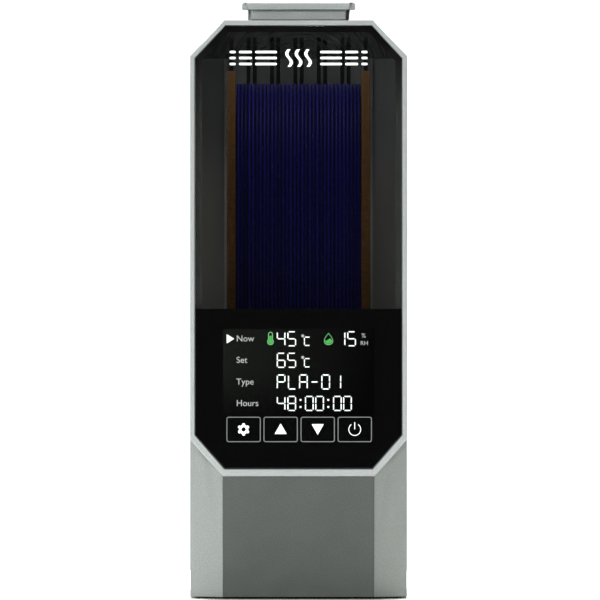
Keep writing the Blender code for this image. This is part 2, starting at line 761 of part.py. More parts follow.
def rear_duct_cover():
    """Closes the duct behind and above; the lid's shell passes round it."""
    thick = 1.6 * MM
    outer = inset(shell_plan(), DUCT_INSET)
    inner = inset(shell_plan(), DUCT_INSET + thick)
    end = wing_line(HALF - DUCT_INSET - thick, DUCT_WALL) + 0.9 * MM
    outline = u_outline(outer, inner, end)
    shape = under_roof(prism(outline, "Z", FLOOR_TOP + GAP, DUCT_TOP - 0.5 * MM))
    cover = piece("rear_duct_cover", "duct_plastic", shape)
    rim = inset(shell_plan(), DUCT_INSET + GAP)
    face = DUCT_FRONT + DUCT_WALL + 0.4 * MM
    side = rim[1][0]
    corner = DUCT_FLAT + 1 * MM
    lid = [(-side, wing_line(side, DUCT_WALL + 0.4 * MM)), (-corner, face), (corner, face)]
    lid += [(side, wing_line(side, DUCT_WALL + 0.4 * MM)), *rim[2:]]
    join(cover, under_roof(prism(lid, "Z", DUCT_TOP - thick, DUCT_TOP)))


def roller_set(name, y):
    """A cradle on the floor, its axle and the two rollers that turn with it."""
    length = 12 * MM
    outer = EAR_X + EAR
    top = CRADLE_Z + 2.5 * MM
    plate = box((-outer, outer), (y - length, y + length), (CRADLE_Z, top))
    cradle = piece(f"roller_cradle_{name}", "black_plastic", plate)
    for side in (-1, 1):
        ear = span(side * EAR_X, side * outer)
        join(cradle, box(ear, (y - 8 * MM, y + 8 * MM), (top - 0.5 * MM, ROLLER_Z + 6 * MM)))
    cut(cradle, rod(AXLE_R + 0.1 * MM, "X", (0, y, ROLLER_Z), -outer - 5 * MM, outer + 5 * MM, 24))
    reach = outer - 0.2 * MM
    shaft = rod(AXLE_R, "X", (0, y, ROLLER_Z), -reach, reach, 24)
    members = [piece(f"roller_axle_{name}", "steel", shaft, True)]
    for side_name, side in (("left", -1), ("right", 1)):
        start, end = side * ROLLER_X - ROLLER_WIDTH / 2, side * ROLLER_X + ROLLER_WIDTH / 2
        bore, soft = AXLE_R + 0.1 * MM, 1 * MM
        profile = [(bore, start), (ROLLER_R - soft, start), (ROLLER_R, start + soft)]
        profile += [(ROLLER_R, end - soft), (ROLLER_R - soft, end), (bore, end)]
        shape = turned(profile, "X", (0, y, ROLLER_Z), 32)
        members.append(piece(f"roller_{name}_{side_name}", "roller_plastic", shape, True))
    carried(f"roller_axis_{name}", (0, y, ROLLER_Z), members)


def spool():
    """Cardboard spool with its winding, turning on the rollers."""
    centre, segments, inner = (0, 0, SPOOL_Z), 72, SPOOL_HALF - FLANGE
    members = []
    for side_name, side in (("left", -1), ("right", 1)):
        near, far = side * inner, side * SPOOL_HALF
        soft = side * 0.5 * MM
        profile = [(BORE_R, near), (SPOOL_R, near), (SPOOL_R, far - soft)]
        profile += [(SPOOL_R - 0.5 * MM, far), (BORE_R, far)]
        shape = turned(profile, "X", centre, segments)
        members.append(piece(f"spool_flange_{side_name}", "kraft_board", shape, True))
    end = inner - GAP
    for name, finish, low, high in (
        ("spool_hub", "kraft_board", BORE_R, HUB_R),
        ("filament_winding", "blue_filament", HUB_R + GAP, WINDING_R),
    ):
        profile = [(low, -end), (high, -end), (high, end), (low, end)]
        members.append(piece(name, finish, turned(profile, "X", centre, segments), True))
    carried("spool_axis", centre, members)


# ---- lid ----


def hood_block(wall, front, bottom):
    """The lid's solid shape, drawn in by a wall."""
    head, drop = HALF - CORNER, REAR - wall
    shape = prism(inset(arch_outline(bottom), [0, wall, wall, wall, wall, wall]), "Y", front, drop)
    shift = wall * math.sqrt(2)
    for side in (-1, 1):
        slice_off(shape, (side * (head - shift), REAR, 0), (side, 1, 0))
    return slice_off(shape, (0, REAR - shift, ROOF - REAR_TOP_CORNER), (0, 1, 1))


def lid_hood():
    hood = piece("lid_hood", "smoked_plastic", hood_block(0, LID_FRONT, HOOD_BOTTOM))
    cut(hood, hood_block(WALL, LID_FRONT + 2.5 * MM, HOOD_BOTTOM - 5 * MM))
    mouth = inset(arch_outline(HOOD_BOTTOM - 5 * MM), [0] + [4 * MM] * 5)
    cut(hood, prism(mouth, "Y", LID_FRONT - 5 * MM, LID_FRONT + 5 * MM))
    x, y = HANDLE_SCREW
    holes = [(side * x, y, 0, 1.8 * MM, 12) for side in (-1, 1)]
    holes += [(side * OUTLET_X, OUTLET_Y, 0, OUTLET_BORE + 1.8 * MM, 24) for side in (-1, 1)]
    through = (ROOF - WALL - 5 * MM, ROOF + 5 * MM)
    cut(hood, merged([rod(r, "Z", (hx, hy, hz), *through, count) for hx, hy, hz, r, count in holes]))
    return hood


def lid_rim():
    """Silver frame under the hood, with the lid's hinge knuckles."""
    plan, wide, lip = shell_plan(), WALL + 1.2 * MM, WALL + 0.3 * MM
    seat = HOOD_BOTTOM - GAP
    frame = u_outline(plan, inset(plan, wide), LID_FRONT)
    rim = piece("lid_rim", "silver_paint", prism(frame, "Z", LID_BOTTOM, seat))
    inner = u_outline(inset(plan, lip), inset(plan, wide), LID_FRONT + 2.8 * MM)
    join(rim, prism(inner, "Z", seat - 0.5 * MM, seat + 3.7 * MM))
    for side in (-1, 1):
        for start, end in knuckle_spans(side, "base"):
            room = (start - GAP, end + GAP)
            reach = KNUCKLE_R + 0.4 * MM
            cut(rim, box(room, (REAR - reach, REAR + reach), (SPLIT - reach, SPLIT + reach)))
    join(rim, *knuckles("lid"))
    cut(rim, *hinge_bores(PIN_R + 0.25 * MM))
    return rim


def hinge_pins():
    reach = 11.5 * MM
    for side_name, side in (("left", -1), ("right", 1)):
        middle = side * HINGE_X
        shape = rod(PIN_R, "X", (0, REAR, SPLIT), middle - reach, middle + reach, 16)
        piece(f"hinge_pin_{side_name}", "steel", shape, True)


def seals():
    """The front one meets the bezel's back, the side ones meet the base's top."""
    arch = arch_outline(LID_BOTTOM + GAP)
    ring = u_outline(inset(arch, 1 * MM), inset(arch, 3.4 * MM), LID_BOTTOM + GAP)
    start = BEZEL_BACK + 0.3 * MM
    made = [piece("front_seal", "seal_rubber", prism(ring, "Y", start, LID_FRONT - 0.3 * MM))]
    for side_name, side in (("left", -1), ("right", 1)):
        across = span(side * (HALF - 1.9 * MM), side * (HALF - 0.6 * MM))
        along = (LID_FRONT + 1 * MM, REAR - CORNER - 1 * MM)
        shape = box(across, along, (BASE_TOP + 0.4 * MM, LID_BOTTOM - GAP))
        made.append(piece(f"side_seal_{side_name}", "seal_rubber", shape))
    return made


def lid_handle():
    """A grip with a lip on three sides, standing on the roof."""
    foot, lip, rear = ROOF + GAP, HEIGHT - 3.5 * MM, HANDLE_REAR
    front = rear - 23 * MM
    soft = 0.9 * MM
    top = [(-HANDLE_HALF, lip), (HANDLE_HALF, lip), (HANDLE_HALF, HEIGHT - soft)]
    top += [(HANDLE_HALF - soft, HEIGHT), (soft - HANDLE_HALF, HEIGHT), (-HANDLE_HALF, HEIGHT - soft)]
    handle = piece("lid_handle", "silver_paint", prism(top, "Y", front, rear))
    for side in (-1, 1):
        ear = span(side * (HANDLE_HALF - 2.8 * MM), side * (HANDLE_HALF + 1 * MM))
        cut(handle, box(ear, (front - 1 * MM, front + 2.2 * MM), (lip - 1 * MM, HEIGHT + 1 * MM)))
    web, core = HANDLE_HALF - 2.9 * MM, HANDLE_HALF - 4.4 * MM
    join(
        handle,
        box((-web, web), (front + 9 * MM, rear), (foot, lip + 0.5 * MM)),
        box((-core, core), (front + 5 * MM, rear - 1 * MM), (foot, lip + 0.6 * MM)),
    )
    x, y = HANDLE_SCREW
    holes = [rod(1.8 * MM, "Z", (side * x, y, 0), foot - 5 * MM, lip + 1 * MM, 12) for side in (-1, 1)]
    cut(handle, merged(holes))
    under = ROOF - WALL - GAP
    screw = [(0, under - 1.6 * MM), (2.9 * MM, under - 1.6 * MM), (2.9 * MM, under)]
    screw += [(1.5 * MM, under), (1.5 * MM, lip), (0, lip)]
    made = [handle]
    for side_name, side in (("left", -1), ("right", 1)):
        shape = turned(screw, "Z", (side * x, y, 0), 12)
        made.append(piece(f"handle_screw_{side_name}", "steel", shape, True))
    return made


def outlets():
    """Two filament outlets in the roof; the left one is plugged."""
    tail, seat, mouth = ROOF - 5.3 * MM, ROOF + GAP, HEIGHT - 2.8 * MM
    neck = OUTLET_BORE + 1.5 * MM
    profile = [
        (OUTLET_BORE, tail),
        (neck, tail),
        (neck, seat),
        (OUTLET_BORE + 4 * MM, seat),
        (OUTLET_BORE + 4 * MM, seat + 1.8 * MM),
        (neck + 0.3 * MM, seat + 2.2 * MM),
        (neck + 0.3 * MM, mouth),
        (OUTLET_BORE, mouth),
    ]
    made = []
    for side_name, side in (("left", -1), ("right", 1)):
        at = (side * OUTLET_X, OUTLET_Y, 0)
        fitting = turned(profile, "Z", at, 24)
        made.append(piece(f"filament_outlet_{side_name}", "black_plastic", fitting, True))
    stem, head = OUTLET_BORE - 0.4 * MM, OUTLET_BORE + 2 * MM
    start = mouth + GAP
    plug = [(0, ROOF - 3 * MM), (stem, ROOF - 3 * MM), (stem, start), (head, start)]
    plug += [(head, HEIGHT - 0.9 * MM), (head - 0.5 * MM, HEIGHT - 0.4 * MM), (0, HEIGHT - 0.4 * MM)]
    at = (-OUTLET_X, OUTLET_Y, 0)
    made_plug = piece("outlet_plug", "seal_rubber", turned(plug, "Z", at, 24), True)
    return made, made_plug


def lid():
    fittings, plug = outlets()
    members = [lid_hood(), lid_rim(), *seals(), *lid_handle(), *fittings]
    carried("lid_axis", (0, REAR, SPLIT), members)
    carried("plug_axis", (-OUTLET_X, OUTLET_Y, ROOF), [plug])


base_housing()
lower_front_panel()
bottom_cover()
feet_and_screws()
front_bezel()
front_window()
display()
display_cable()
control_board()
power_board()
power_inlet()
bay_divider()
fan()
heater()
humidity_sensor()
chamber_floor()
rear_duct_panel()
rear_duct_cover()
roller_set("front", -ROLLER_Y)
roller_set("rear", ROLLER_Y)
spool()
hinge_pins()
lid()
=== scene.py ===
import json
import math

import bmesh
import bpy
from mathutils import Matrix, Vector


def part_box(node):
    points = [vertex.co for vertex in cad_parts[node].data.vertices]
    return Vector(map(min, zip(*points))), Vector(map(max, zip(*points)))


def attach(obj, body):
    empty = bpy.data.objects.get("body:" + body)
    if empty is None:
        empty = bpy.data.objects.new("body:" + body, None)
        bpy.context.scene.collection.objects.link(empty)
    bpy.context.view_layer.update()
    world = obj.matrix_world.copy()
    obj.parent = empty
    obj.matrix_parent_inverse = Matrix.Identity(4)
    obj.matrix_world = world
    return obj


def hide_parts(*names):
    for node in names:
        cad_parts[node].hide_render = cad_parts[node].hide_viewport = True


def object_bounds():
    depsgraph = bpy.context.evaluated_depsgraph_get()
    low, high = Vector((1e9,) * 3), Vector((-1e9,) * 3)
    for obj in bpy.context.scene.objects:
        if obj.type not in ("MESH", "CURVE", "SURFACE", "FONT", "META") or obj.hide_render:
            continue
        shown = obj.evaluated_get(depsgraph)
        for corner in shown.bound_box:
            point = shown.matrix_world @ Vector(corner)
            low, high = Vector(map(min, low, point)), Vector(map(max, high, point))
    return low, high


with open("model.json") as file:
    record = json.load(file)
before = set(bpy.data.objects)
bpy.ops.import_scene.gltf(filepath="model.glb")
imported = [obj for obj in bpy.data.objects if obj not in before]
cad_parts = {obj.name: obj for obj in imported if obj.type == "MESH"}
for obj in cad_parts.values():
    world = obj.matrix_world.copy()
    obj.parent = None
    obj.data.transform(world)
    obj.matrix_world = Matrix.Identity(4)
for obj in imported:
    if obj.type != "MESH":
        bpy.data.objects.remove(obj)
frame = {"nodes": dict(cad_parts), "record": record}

CAD_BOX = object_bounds()
MM = 0.001
RECORD = frame["record"]
BODY_OF = {node: body for body, nodes in RECORD["behaviour"]["bodies"].items() for node in nodes}
SLOT_OF = {entry["node"]: entry["material_slot"] for entry in RECORD["subparts"]}

# Places on the front, in metres from the box's middle line and from the ground
DISPLAY_TOP = 140.6 * MM
KEY_Z = 82.2 * MM
KEY_WIDTH, KEY_HEIGHT, KEY_PITCH = 16.6 * MM, 12.3 * MM, 17.95 * MM
DIGIT_WIDTH, DIGIT_HEIGHT, STROKE = 4.2 * MM, 7.3 * MM, 0.53 * MM
ROWS = [126.1 * MM, 115.7 * MM, 105.2 * MM, 94.8 * MM]
TENS, ONES = -8.45 * MM, -3.3 * MM  # the two left figures of each row
MARK_Z, MARK_HALF, MARK_STROKE = 262.1 * MM, 33.4 * MM, 1.8 * MM
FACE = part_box("front_window")[0].y  # the window's face
INK = 0.03 * MM  # thickness of what is printed or lit on it
INK_Y = FACE - 0.01 * MM
WINDING_LOW, WINDING_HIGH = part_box("filament_winding")
WINDING_WIDTH = WINDING_HIGH.x - WINDING_LOW.x
TURNS = round(WINDING_WIDTH / (1.82 * MM))  # filament of 1.75 mm, wound close
PITCH = WINDING_WIDTH / TURNS
SPOOL_BORE = 27.5 * MM
BOARD_THICKNESS = 1.6 * MM
MIX_FIRST, MIX_SECOND, MIX_COLOUR = 6, 7, 2  # a Mix node's two colour inputs and its colour output


# ---- finishes ----


def linear(code):
    """An sRGB hex colour as the linear numbers that a shader takes, with nothing see-through."""
    channels = [int(code[i : i + 2], 16) / 255 for i in (0, 2, 4)]
    return tuple(c / 12.92 if c <= 0.04045 else ((c + 0.055) / 1.055) ** 2.4 for c in channels) + (1.0,)


def add(tree, kind, settings=None, links=None):
    """A node with its settings and its links; a socket goes by its name or number."""
    node = tree.nodes.new(kind)
    for key, value in (settings or {}).items():
        if isinstance(key, int) or key in node.inputs:
            node.inputs[key].default_value = value
        else:
            setattr(node, key, value)
    for key, socket in (links or {}).items():
        tree.links.new(socket, node.inputs[key])
    return node


def finish(name, colour, roughness, **sockets):
    """A named material whose shader has these values all over; a socket's spaces are underscores here."""
    material = bpy.data.materials.new(name)
    material.use_nodes = True
    shader = material.node_tree.nodes["Principled BSDF"]
    shader.inputs["Base Color"].default_value = linear(colour)
    shader.inputs["Roughness"].default_value = roughness
    for socket, value in sockets.items():
        shader.inputs[socket.replace("_", " ")].default_value = value
    return material, material.node_tree, shader


def grain(tree, size, detail=3.0, stretch=(1, 1, 1)):
    """Noise with grains of a size in millimetres."""
    place = add(tree, "ShaderNodeTexCoord")
    turned = add(tree, "ShaderNodeMapping", {"Scale": stretch}, {"Vector": place.outputs["Object"]})
    noise = {"Scale": 1 / (size * MM), "Detail": detail, "Roughness": 0.6}
    return add(tree, "ShaderNodeTexNoise", noise, {"Vector": turned.outputs["Vector"]}).outputs["Fac"]


def between(tree, value, low, high, start=0.3, end=0.7):
    """A number that goes from low to high as value goes from start to end."""
    ends = {"From Min": start, "From Max": end, "To Min": low, "To Max": high}
    return add(tree, "ShaderNodeMapRange", ends, {"Value": value}).outputs["Result"]


def coordinate(tree, axis):
    """A point's place along an axis of its piece."""
    place = add(tree, "ShaderNodeTexCoord")
    return add(tree, "ShaderNodeSeparateXYZ", links={0: place.outputs["Object"]}).outputs[axis]


def blend(tree, value, first, second):
    """A colour that goes from first to second as value goes from 0 to 1."""
    mix = add(tree, "ShaderNodeMix", {"data_type": "RGBA"}, {"Factor": value})
    mix.inputs[MIX_FIRST].default_value = linear(first)
    mix.inputs[MIX_SECOND].default_value = linear(second)
    return mix


def times(tree, first, second):
    """The product of two numbers."""
    return add(tree, "ShaderNodeMath", {"operation": "MULTIPLY"}, {0: first, 1: second}).outputs[0]


def shaded(tree, shader, value, dark, light):
    """Colours a surface from dark to light with a value."""
    tree.links.new(blend(tree, value, dark, light).outputs[MIX_COLOUR], shader.inputs["Base Color"])


def raised(tree, shader, height, depth, strength):
    """Fine relief of a depth in millimetres."""
    bump = add(tree, "ShaderNodeBump", {"Strength": strength, "Distance": depth * MM}, {"Height": height})
    tree.links.new(bump.outputs["Normal"], shader.inputs["Normal"])


def sprayed_paint(name, dark, light, roughness, metallic):
    """Paint with fine metal flakes, sprayed on moulded plastic: an even speckle and a soft sheen."""
    material, tree, shader = finish(name, light, roughness, Metallic=metallic)
    flakes = grain(tree, 0.55, 2.0)
    shaded(tree, shader, between(tree, flakes, 0, 1, 0.32, 0.68), dark, light)
    wear = between(tree, grain(tree, 9.0), roughness - 0.05, roughness + 0.07)
    tree.links.new(wear, shader.inputs["Roughness"])
    raised(tree, shader, flakes, 0.03, 0.35)
    return material


def matt_plastic(name, dark, light, roughness, texture=0.7):
    """Plastic as it leaves the mould or the lathe: fine matt grain with slightly uneven gloss."""
    material, tree, shader = finish(name, light, roughness, IOR=1.46)
    skin = grain(tree, texture, 4.0)
    shaded(tree, shader, between(tree, grain(tree, 14.0), 0, 1), dark, light)
    tree.links.new(between(tree, skin, roughness - 0.06, roughness + 0.08), shader.inputs["Roughness"])
    raised(tree, shader, skin, 0.02, 0.5)
    return material


def duct_plastic():
    """Matt grey plastic of the air duct with painted light: paler low down and darker towards the top, so the
    narrow gap beside the spool reads as grey.
    """
    material, tree, shader = finish("moulded_grey_abs_painted_light", "858985", 0.55, IOR=1.46)
    # Painted light and shade: the colour grows paler downwards and darker upwards, standing in for how the
    # light falls in the chamber.
    low = between(tree, coordinate(tree, "Z"), 1, 0, 150 * MM, 260 * MM)
    shaded(tree, shader, low, "7C807C", "BCC0BC")
    raised(tree, shader, grain(tree, 0.7, 4.0), 0.02, 0.5)
    return material


def smoked_sheet(name, colour, alpha, gloss):
    """Polycarbonate tinted grey and polished: clear enough to see the spool, with faint wipe marks."""
    material, tree, shader = finish(name, colour, gloss, IOR=1.5, Alpha=alpha)
    wipes = between(tree, grain(tree, 30.0, 4.0, (1, 1, 0.25)), gloss * 0.7, gloss * 1.3)
    tree.links.new(wipes, shader.inputs["Roughness"])
    return material


def printed_black():
    """Screen-printed ink behind polished plastic: a deep even black under a glossy face."""
    material, tree, shader = finish("screen_printed_black", "080808", 0.06, IOR=1.5)
    tree.links.new(between(tree, grain(tree, 25.0), 0.04, 0.07), shader.inputs["Roughness"])
    return material


def printed_border_painted_shade():
    """Ink round the window's edge: charcoal at the sides, with painted shade that darkens it towards the
    roof.
    """
    dull = {"IOR": 1.5, "Specular_IOR_Level": 0.15}
    material, tree, shader = finish("screen_printed_charcoal_painted_shade", "383B38", 0.5, **dull)
    # Painted shade: the band goes near black towards the roof, where the bezel's top edge and the roof shade
    # it.
    rise = between(tree, coordinate(tree, "Z"), 1, 0, 235 * MM, 270 * MM)
    shaded(tree, shader, rise, "080808", "5C605C")
    return material


def display_film():
    """Negative liquid crystal film: a touch lighter than the ink, fading to the right and downwards."""
    material, tree, shader = finish("negative_lcd_film", "1B1C1B", 0.06, IOR=1.5)
    across = between(tree, coordinate(tree, "X"), 1, 0, -36 * MM, 40 * MM)
    down = between(tree, coordinate(tree, "Z"), 0, 1, 84 * MM, 112 * MM)
    shaded(tree, shader, times(tree, across, down), "030303", "171917")
    return material


def lit(name, colour, strength):
    """Ink or film that glows evenly all over: lit from behind on the display and keys, and a painted glow on
    the white mark over the window.
    """
    glowing = {"Emission_Color": linear(colour), "Emission_Strength": strength}
    material, tree, shader = finish(name, colour, 0.4, IOR=1.5, **glowing)
    glow = between(tree, grain(tree, 2.0), strength * 0.94, strength * 1.04)
    tree.links.new(glow, shader.inputs["Emission Strength"])
    return material


def wound_filament():
    """Extruded PLA, dull and dark blue: each turn takes the light differently, with painted shade in the
    grooves between turns.
    """
    dull = {"IOR": 1.46, "Specular_IOR_Level": 0.01}
    material, tree, shader = finish("extruded_blue_pla", "0E0E50", 0.36, **dull)
    place = add(tree, "ShaderNodeTexCoord")
    # Painted shade: dark bands one pitch apart lie in the grooves between turns.
    painted_groove_shade = {"Scale": math.pi / (10 * PITCH), "Phase Offset": math.pi}
    groove = add(tree, "ShaderNodeTexWave", painted_groove_shade, {"Vector": place.outputs["Object"]}).outputs["Fac"]
    strands = between(tree, grain(tree, PITCH / MM * 0.9, 0.0, (1, 0, 0)), 0.35, 1, 0.35, 0.65)
    shaded(tree, shader, times(tree, groove, strands), "0A0A2C", "1C1C78")
    tree.links.new(between(tree, grain(tree, 6.0), 0.32, 0.42), shader.inputs["Roughness"])
    return material


def kraft_card():
    """Pressed kraft cardboard: brown, fibrous, with its plies showing at the edge."""
    dull = {"IOR": 1.45, "Specular_IOR_Level": 0.08}
    material, tree, shader = finish("pressed_kraft_cardboard", "5E4324", 0.85, **dull)
    fibres = grain(tree, 0.9, 5.0, (0.35, 1, 1))
    shaded(tree, shader, between(tree, fibres, 0, 1), "4E351C", "6D4F2B")
    raised(tree, shader, fibres, 0.06, 0.6)
    return material


def soft_rubber():
    """Moulded silicone rubber: black, dull, with a slight bloom."""
    material, tree, shader = finish("moulded_black_rubber", "161616", 0.75, IOR=1.45)
    bloom = grain(tree, 1.2, 4.0)
    shaded(tree, shader, between(tree, bloom, 0, 1), "0F0F0F", "1D1D1C")
    raised(tree, shader, bloom, 0.03, 0.5)
    return material


def plated_steel(name, stretch):
    """Zinc-plated steel with the fine even grain or the drawn lines of its making."""
    material, tree, shader = finish(name, "B4B4B0", 0.32, Metallic=1.0)
    lines = grain(tree, 0.25, 2.0, stretch)
    shaded(tree, shader, between(tree, lines, 0, 1), "98989A", "C6C6C2")
    tree.links.new(between(tree, lines, 0.26, 0.4), shader.inputs["Roughness"])
    return material


def extruded_aluminium():
    """Plain extruded aluminium with lines along the fins."""
    material, tree, shader = finish("extruded_aluminium", "C8C8C8", 0.38, Metallic=1.0)
    lines = grain(tree, 0.4, 2.0, (1, 1, 0.04))
    shaded(tree, shader, between(tree, lines, 0, 1), "ABABAB", "D4D4D4")
    return material


def solder_mask():
    """Glass-fibre board under green solder mask, with copper tracks showing as lighter green."""
    material, tree, shader = finish("green_solder_mask", "0E5A2C", 0.4, IOR=1.5)
    place = add(tree, "ShaderNodeTexCoord")
    greens = {"Color1": linear("0E5A2C"), "Color2": linear("0B4C25"), "Mortar": linear("2C8A4E")}
    layout = {"Scale": 1 / (9 * MM), "Mortar Size": 0.035, **greens}
    tracks = add(tree, "ShaderNodeTexBrick", layout, {"Vector": place.outputs["Object"]})
    tree.links.new(tracks.outputs["Color"], shader.inputs["Base Color"])
    raised(tree, shader, tracks.outputs["Fac"], 0.04, 0.4)
    return material


def film_cable():
    """Amber polyimide film with flat copper lines along it."""
    material, tree, shader = finish("polyimide_film", "B5651D", 0.35, IOR=1.6)
    lines = grain(tree, 0.9, 0.0, (1, 0.01, 0.01))
    shaded(tree, shader, between(tree, lines, 0, 1, 0.45, 0.55), "8A4A14", "C98236")
    return material


SILVER = sprayed_paint("sprayed_silver_paint", "828884", "979C98", 0.5, 0.25)
RIM = sprayed_paint("sprayed_bright_silver_paint", "9BA19F", "B2B7B6", 0.5, 0.25)
GREY = sprayed_paint("sprayed_dark_grey_paint", "454A46", "555A56", 0.55, 0.15)
SMOKED = smoked_sheet("smoked_polycarbonate_lid", "101211", 0.5, 0.2)
WINDOW = smoked_sheet("smoked_polycarbonate_window", "0A0B0A", 0.3, 0.05)
PRINT = printed_black()
PAINTED_SHADE_BORDER = printed_border_painted_shade()
LCD = display_film()
SEGMENT = lit("lit_white_segments", "DDE6E3", 0.7)
LABEL = lit("lit_grey_labels", "8E9290", 0.6)
GREEN = lit("lit_green_levels", "2C8A34", 0.5)
PALE_GREEN = lit("lit_green_outlines", "4E9A55", 0.5)
KEY_LINE = lit("printed_key_outlines", "626666", 0.4)
KEY_SIGN = lit("lit_key_symbols", "E8EEEC", 0.85)
# Painted glow: the white print over the window shines on its own, though nothing lights it from behind.
MARK = lit("screen_printed_white_painted_glow", "EDEFEE", 0.8)
FILAMENT = wound_filament()
KRAFT = kraft_card()
RUBBER = soft_rubber()
BLACK = matt_plastic("moulded_black_abs", "121212", "1C1C1C", 0.5)
DUCT = duct_plastic()
DUCT_BACK = matt_plastic("moulded_charcoal_abs", "1A1C1A", "232523", 0.5)
ROLLER = matt_plastic("turned_black_acetal", "181818", "262626", 0.4, 0.4)
STEEL = plated_steel("zinc_plated_steel", (1, 1, 1))
AXLE_STEEL = plated_steel("drawn_steel_rod", (0.05, 1, 1))
ALUMINIUM = extruded_aluminium()
BOARD = solder_mask()
CABLE = film_cable()
SLOT_FINISH = {
    "silver_paint": SILVER,
    "grey_paint": GREY,
    "smoked_plastic": SMOKED,
    "window_glass": WINDOW,
    "black_plastic": BLACK,
    "duct_plastic": DUCT,
    "seal_rubber": RUBBER,
    "roller_plastic": ROLLER,
    "steel": STEEL,
    "kraft_board": KRAFT,
    "blue_filament": FILAMENT,
    "display": PRINT,
    "circuit_board": BOARD,
    "aluminium": ALUMINIUM,
    "cable_film": CABLE,
}


# ---- shaping ----


def made(name, bm, material, nodes=(), body=None, sharp=35):
    """Turns a bmesh into a finished piece that rides on its body."""
    mesh = bpy.data.meshes.new(name)
    bm.to_mesh(mesh)
    bm.free()
    for each in material if isinstance(material, (list, tuple)) else [material]:
        mesh.materials.append(each)
    mesh.shade_smooth()
    mesh.set_sharp_from_angle(angle=math.radians(sharp))
    piece = bpy.data.objects.new(name, mesh)
    bpy.context.scene.collection.objects.link(piece)
    nodes = [nodes] if isinstance(nodes, str) else list(nodes)
    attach(piece, body or BODY_OF[nodes[0]])
    if nodes:
        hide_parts(*nodes)
    return piece


def merged_copy(node):
    """A CAD node's shape with its loose triangles joined and its flat faces whole."""
    bm = bmesh.new()
    bm.from_mesh(frame["nodes"][node].data)
    bmesh.ops.remove_doubles(bm, verts=bm.verts, dist=0.002 * MM)
    bmesh.ops.dissolve_limit(bm, angle_limit=math.radians(0.4), verts=bm.verts, edges=bm.edges)
    return bm


def eased(bm, width, segments, shortest, angle=30.0, below=math.inf):
    """Rounds the edges that are longer than shortest, sharper than angle and not all above a height."""
    chosen = [
        edge
        for edge in bm.edges
        if len(edge.link_faces) == 2
        and edge.calc_face_angle(0) > math.radians(angle)
        and edge.calc_length() > shortest * MM
        and min(vert.co.z for vert in edge.verts) < below
    ]
    bmesh.ops.bevel(
        bm,
        geom=chosen,
        offset=width * MM,
        offset_type="OFFSET",
        segments=segments,
        profile=0.5,
        affect="EDGES",
        clamp_overlap=True,
        material=-1,
    )
    return bm


def made_flat(name, bm, material, node):
    """A piece whose large faces stay flat while its rounded edges carry the turn."""
    weighting = made(name, bm, material, node, sharp=50).modifiers.new("weighted_normals", "WEIGHTED_NORMAL")
    weighting.keep_sharp = True


def softened(node, width, segments, shortest, angle=30.0, material=None):
    """A rounded piece in place of a CAD node."""
    bm = eased(merged_copy(node), width, segments, shortest, angle)
    made_flat(f"{node}_shell", bm, material or SLOT_FINISH[SLOT_OF[node]], node)


def upright(node):
    """Low and high corners, radius and centre of a round part that stands."""
    low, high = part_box(node)
    return low, high, (high.x - low.x) / 2, ((low.x + high.x) / 2, (low.y + high.y) / 2, 0)


def lying(node):
    """Low and high corners, radius and centre of a round part that lies from left to right."""
    low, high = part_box(node)
    return low, high, (high.z - low.z) / 2, (0, (low.y + high.y) / 2, (low.z + high.z) / 2)


def lathe(profile, axis, centre, steps=48):
    """A profile of (radius, place along the axis) in metres, spun once round an axis."""
    bm = bmesh.new()
    verts = [bm.verts.new((radius, 0, along)) for radius, along in profile]
    pairs = list(zip(verts, verts[1:]))
    if profile[0][0] > 0 and profile[-1][0] > 0:
        pairs.append((verts[-1], verts[0]))
    edges = [bm.edges.new(pair) for pair in pairs]
    turn = {"cent": (0, 0, 0), "axis": (0, 0, 1), "angle": 2 * math.pi, "steps": steps, "use_merge": True}
    bmesh.ops.spin(bm, geom=verts + edges, **turn)
    bmesh.ops.remove_doubles(bm, verts=bm.verts, dist=1e-7)
    for vert in bm.verts:
        x, y, z = vert.co
        vert.co = {"X": (z, x, y), "Y": (y, z, x), "Z": (x, y, z)}[axis]
    bmesh.ops.translate(bm, verts=bm.verts, vec=centre)
    bmesh.ops.recalc_face_normals(bm, faces=bm.faces)
    return bm


def joined(shapes):
    """Several shapes in one bmesh."""
    whole = bmesh.new()
    for shape in shapes:
        mesh = bpy.data.meshes.new("part")
        shape.to_mesh(mesh)
        shape.free()
        whole.from_mesh(mesh)
        bpy.data.meshes.remove(mesh)
    return whole


def thickened(bm, faces, thickness):
    """Faces pushed out towards the viewer, as a closed film."""
    grown = bmesh.ops.extrude_face_region(bm, geom=faces)
    verts = [item for item in grown["geom"] if isinstance(item, bmesh.types.BMVert)]
    bmesh.ops.translate(bm, verts=verts, vec=(0, -thickness, 0))
    bmesh.ops.recalc_face_normals(bm, faces=bm.faces)
    return bm


def inked(outline, y=INK_Y, thickness=INK):
    """A flat shape in X and Z, a film thick, facing the viewer."""
    bm = bmesh.new()
    face = bm.faces.new([bm.verts.new((x, y, z)) for x, z in outline])
    return thickened(bm, [face], thickness)


def inked_ring(outer, inner):
    """The film between two outlines with the same number of points."""
    bm = bmesh.new()
    edges = []
    for outline in (outer, inner):
        verts = [bm.verts.new((x, INK_Y, z)) for x, z in outline]
        edges += [bm.edges.new((verts[i - 1], verts[i])) for i in range(len(verts))]
    return thickened(bm, bmesh.ops.bridge_loops(bm, edges=edges)["faces"], INK)


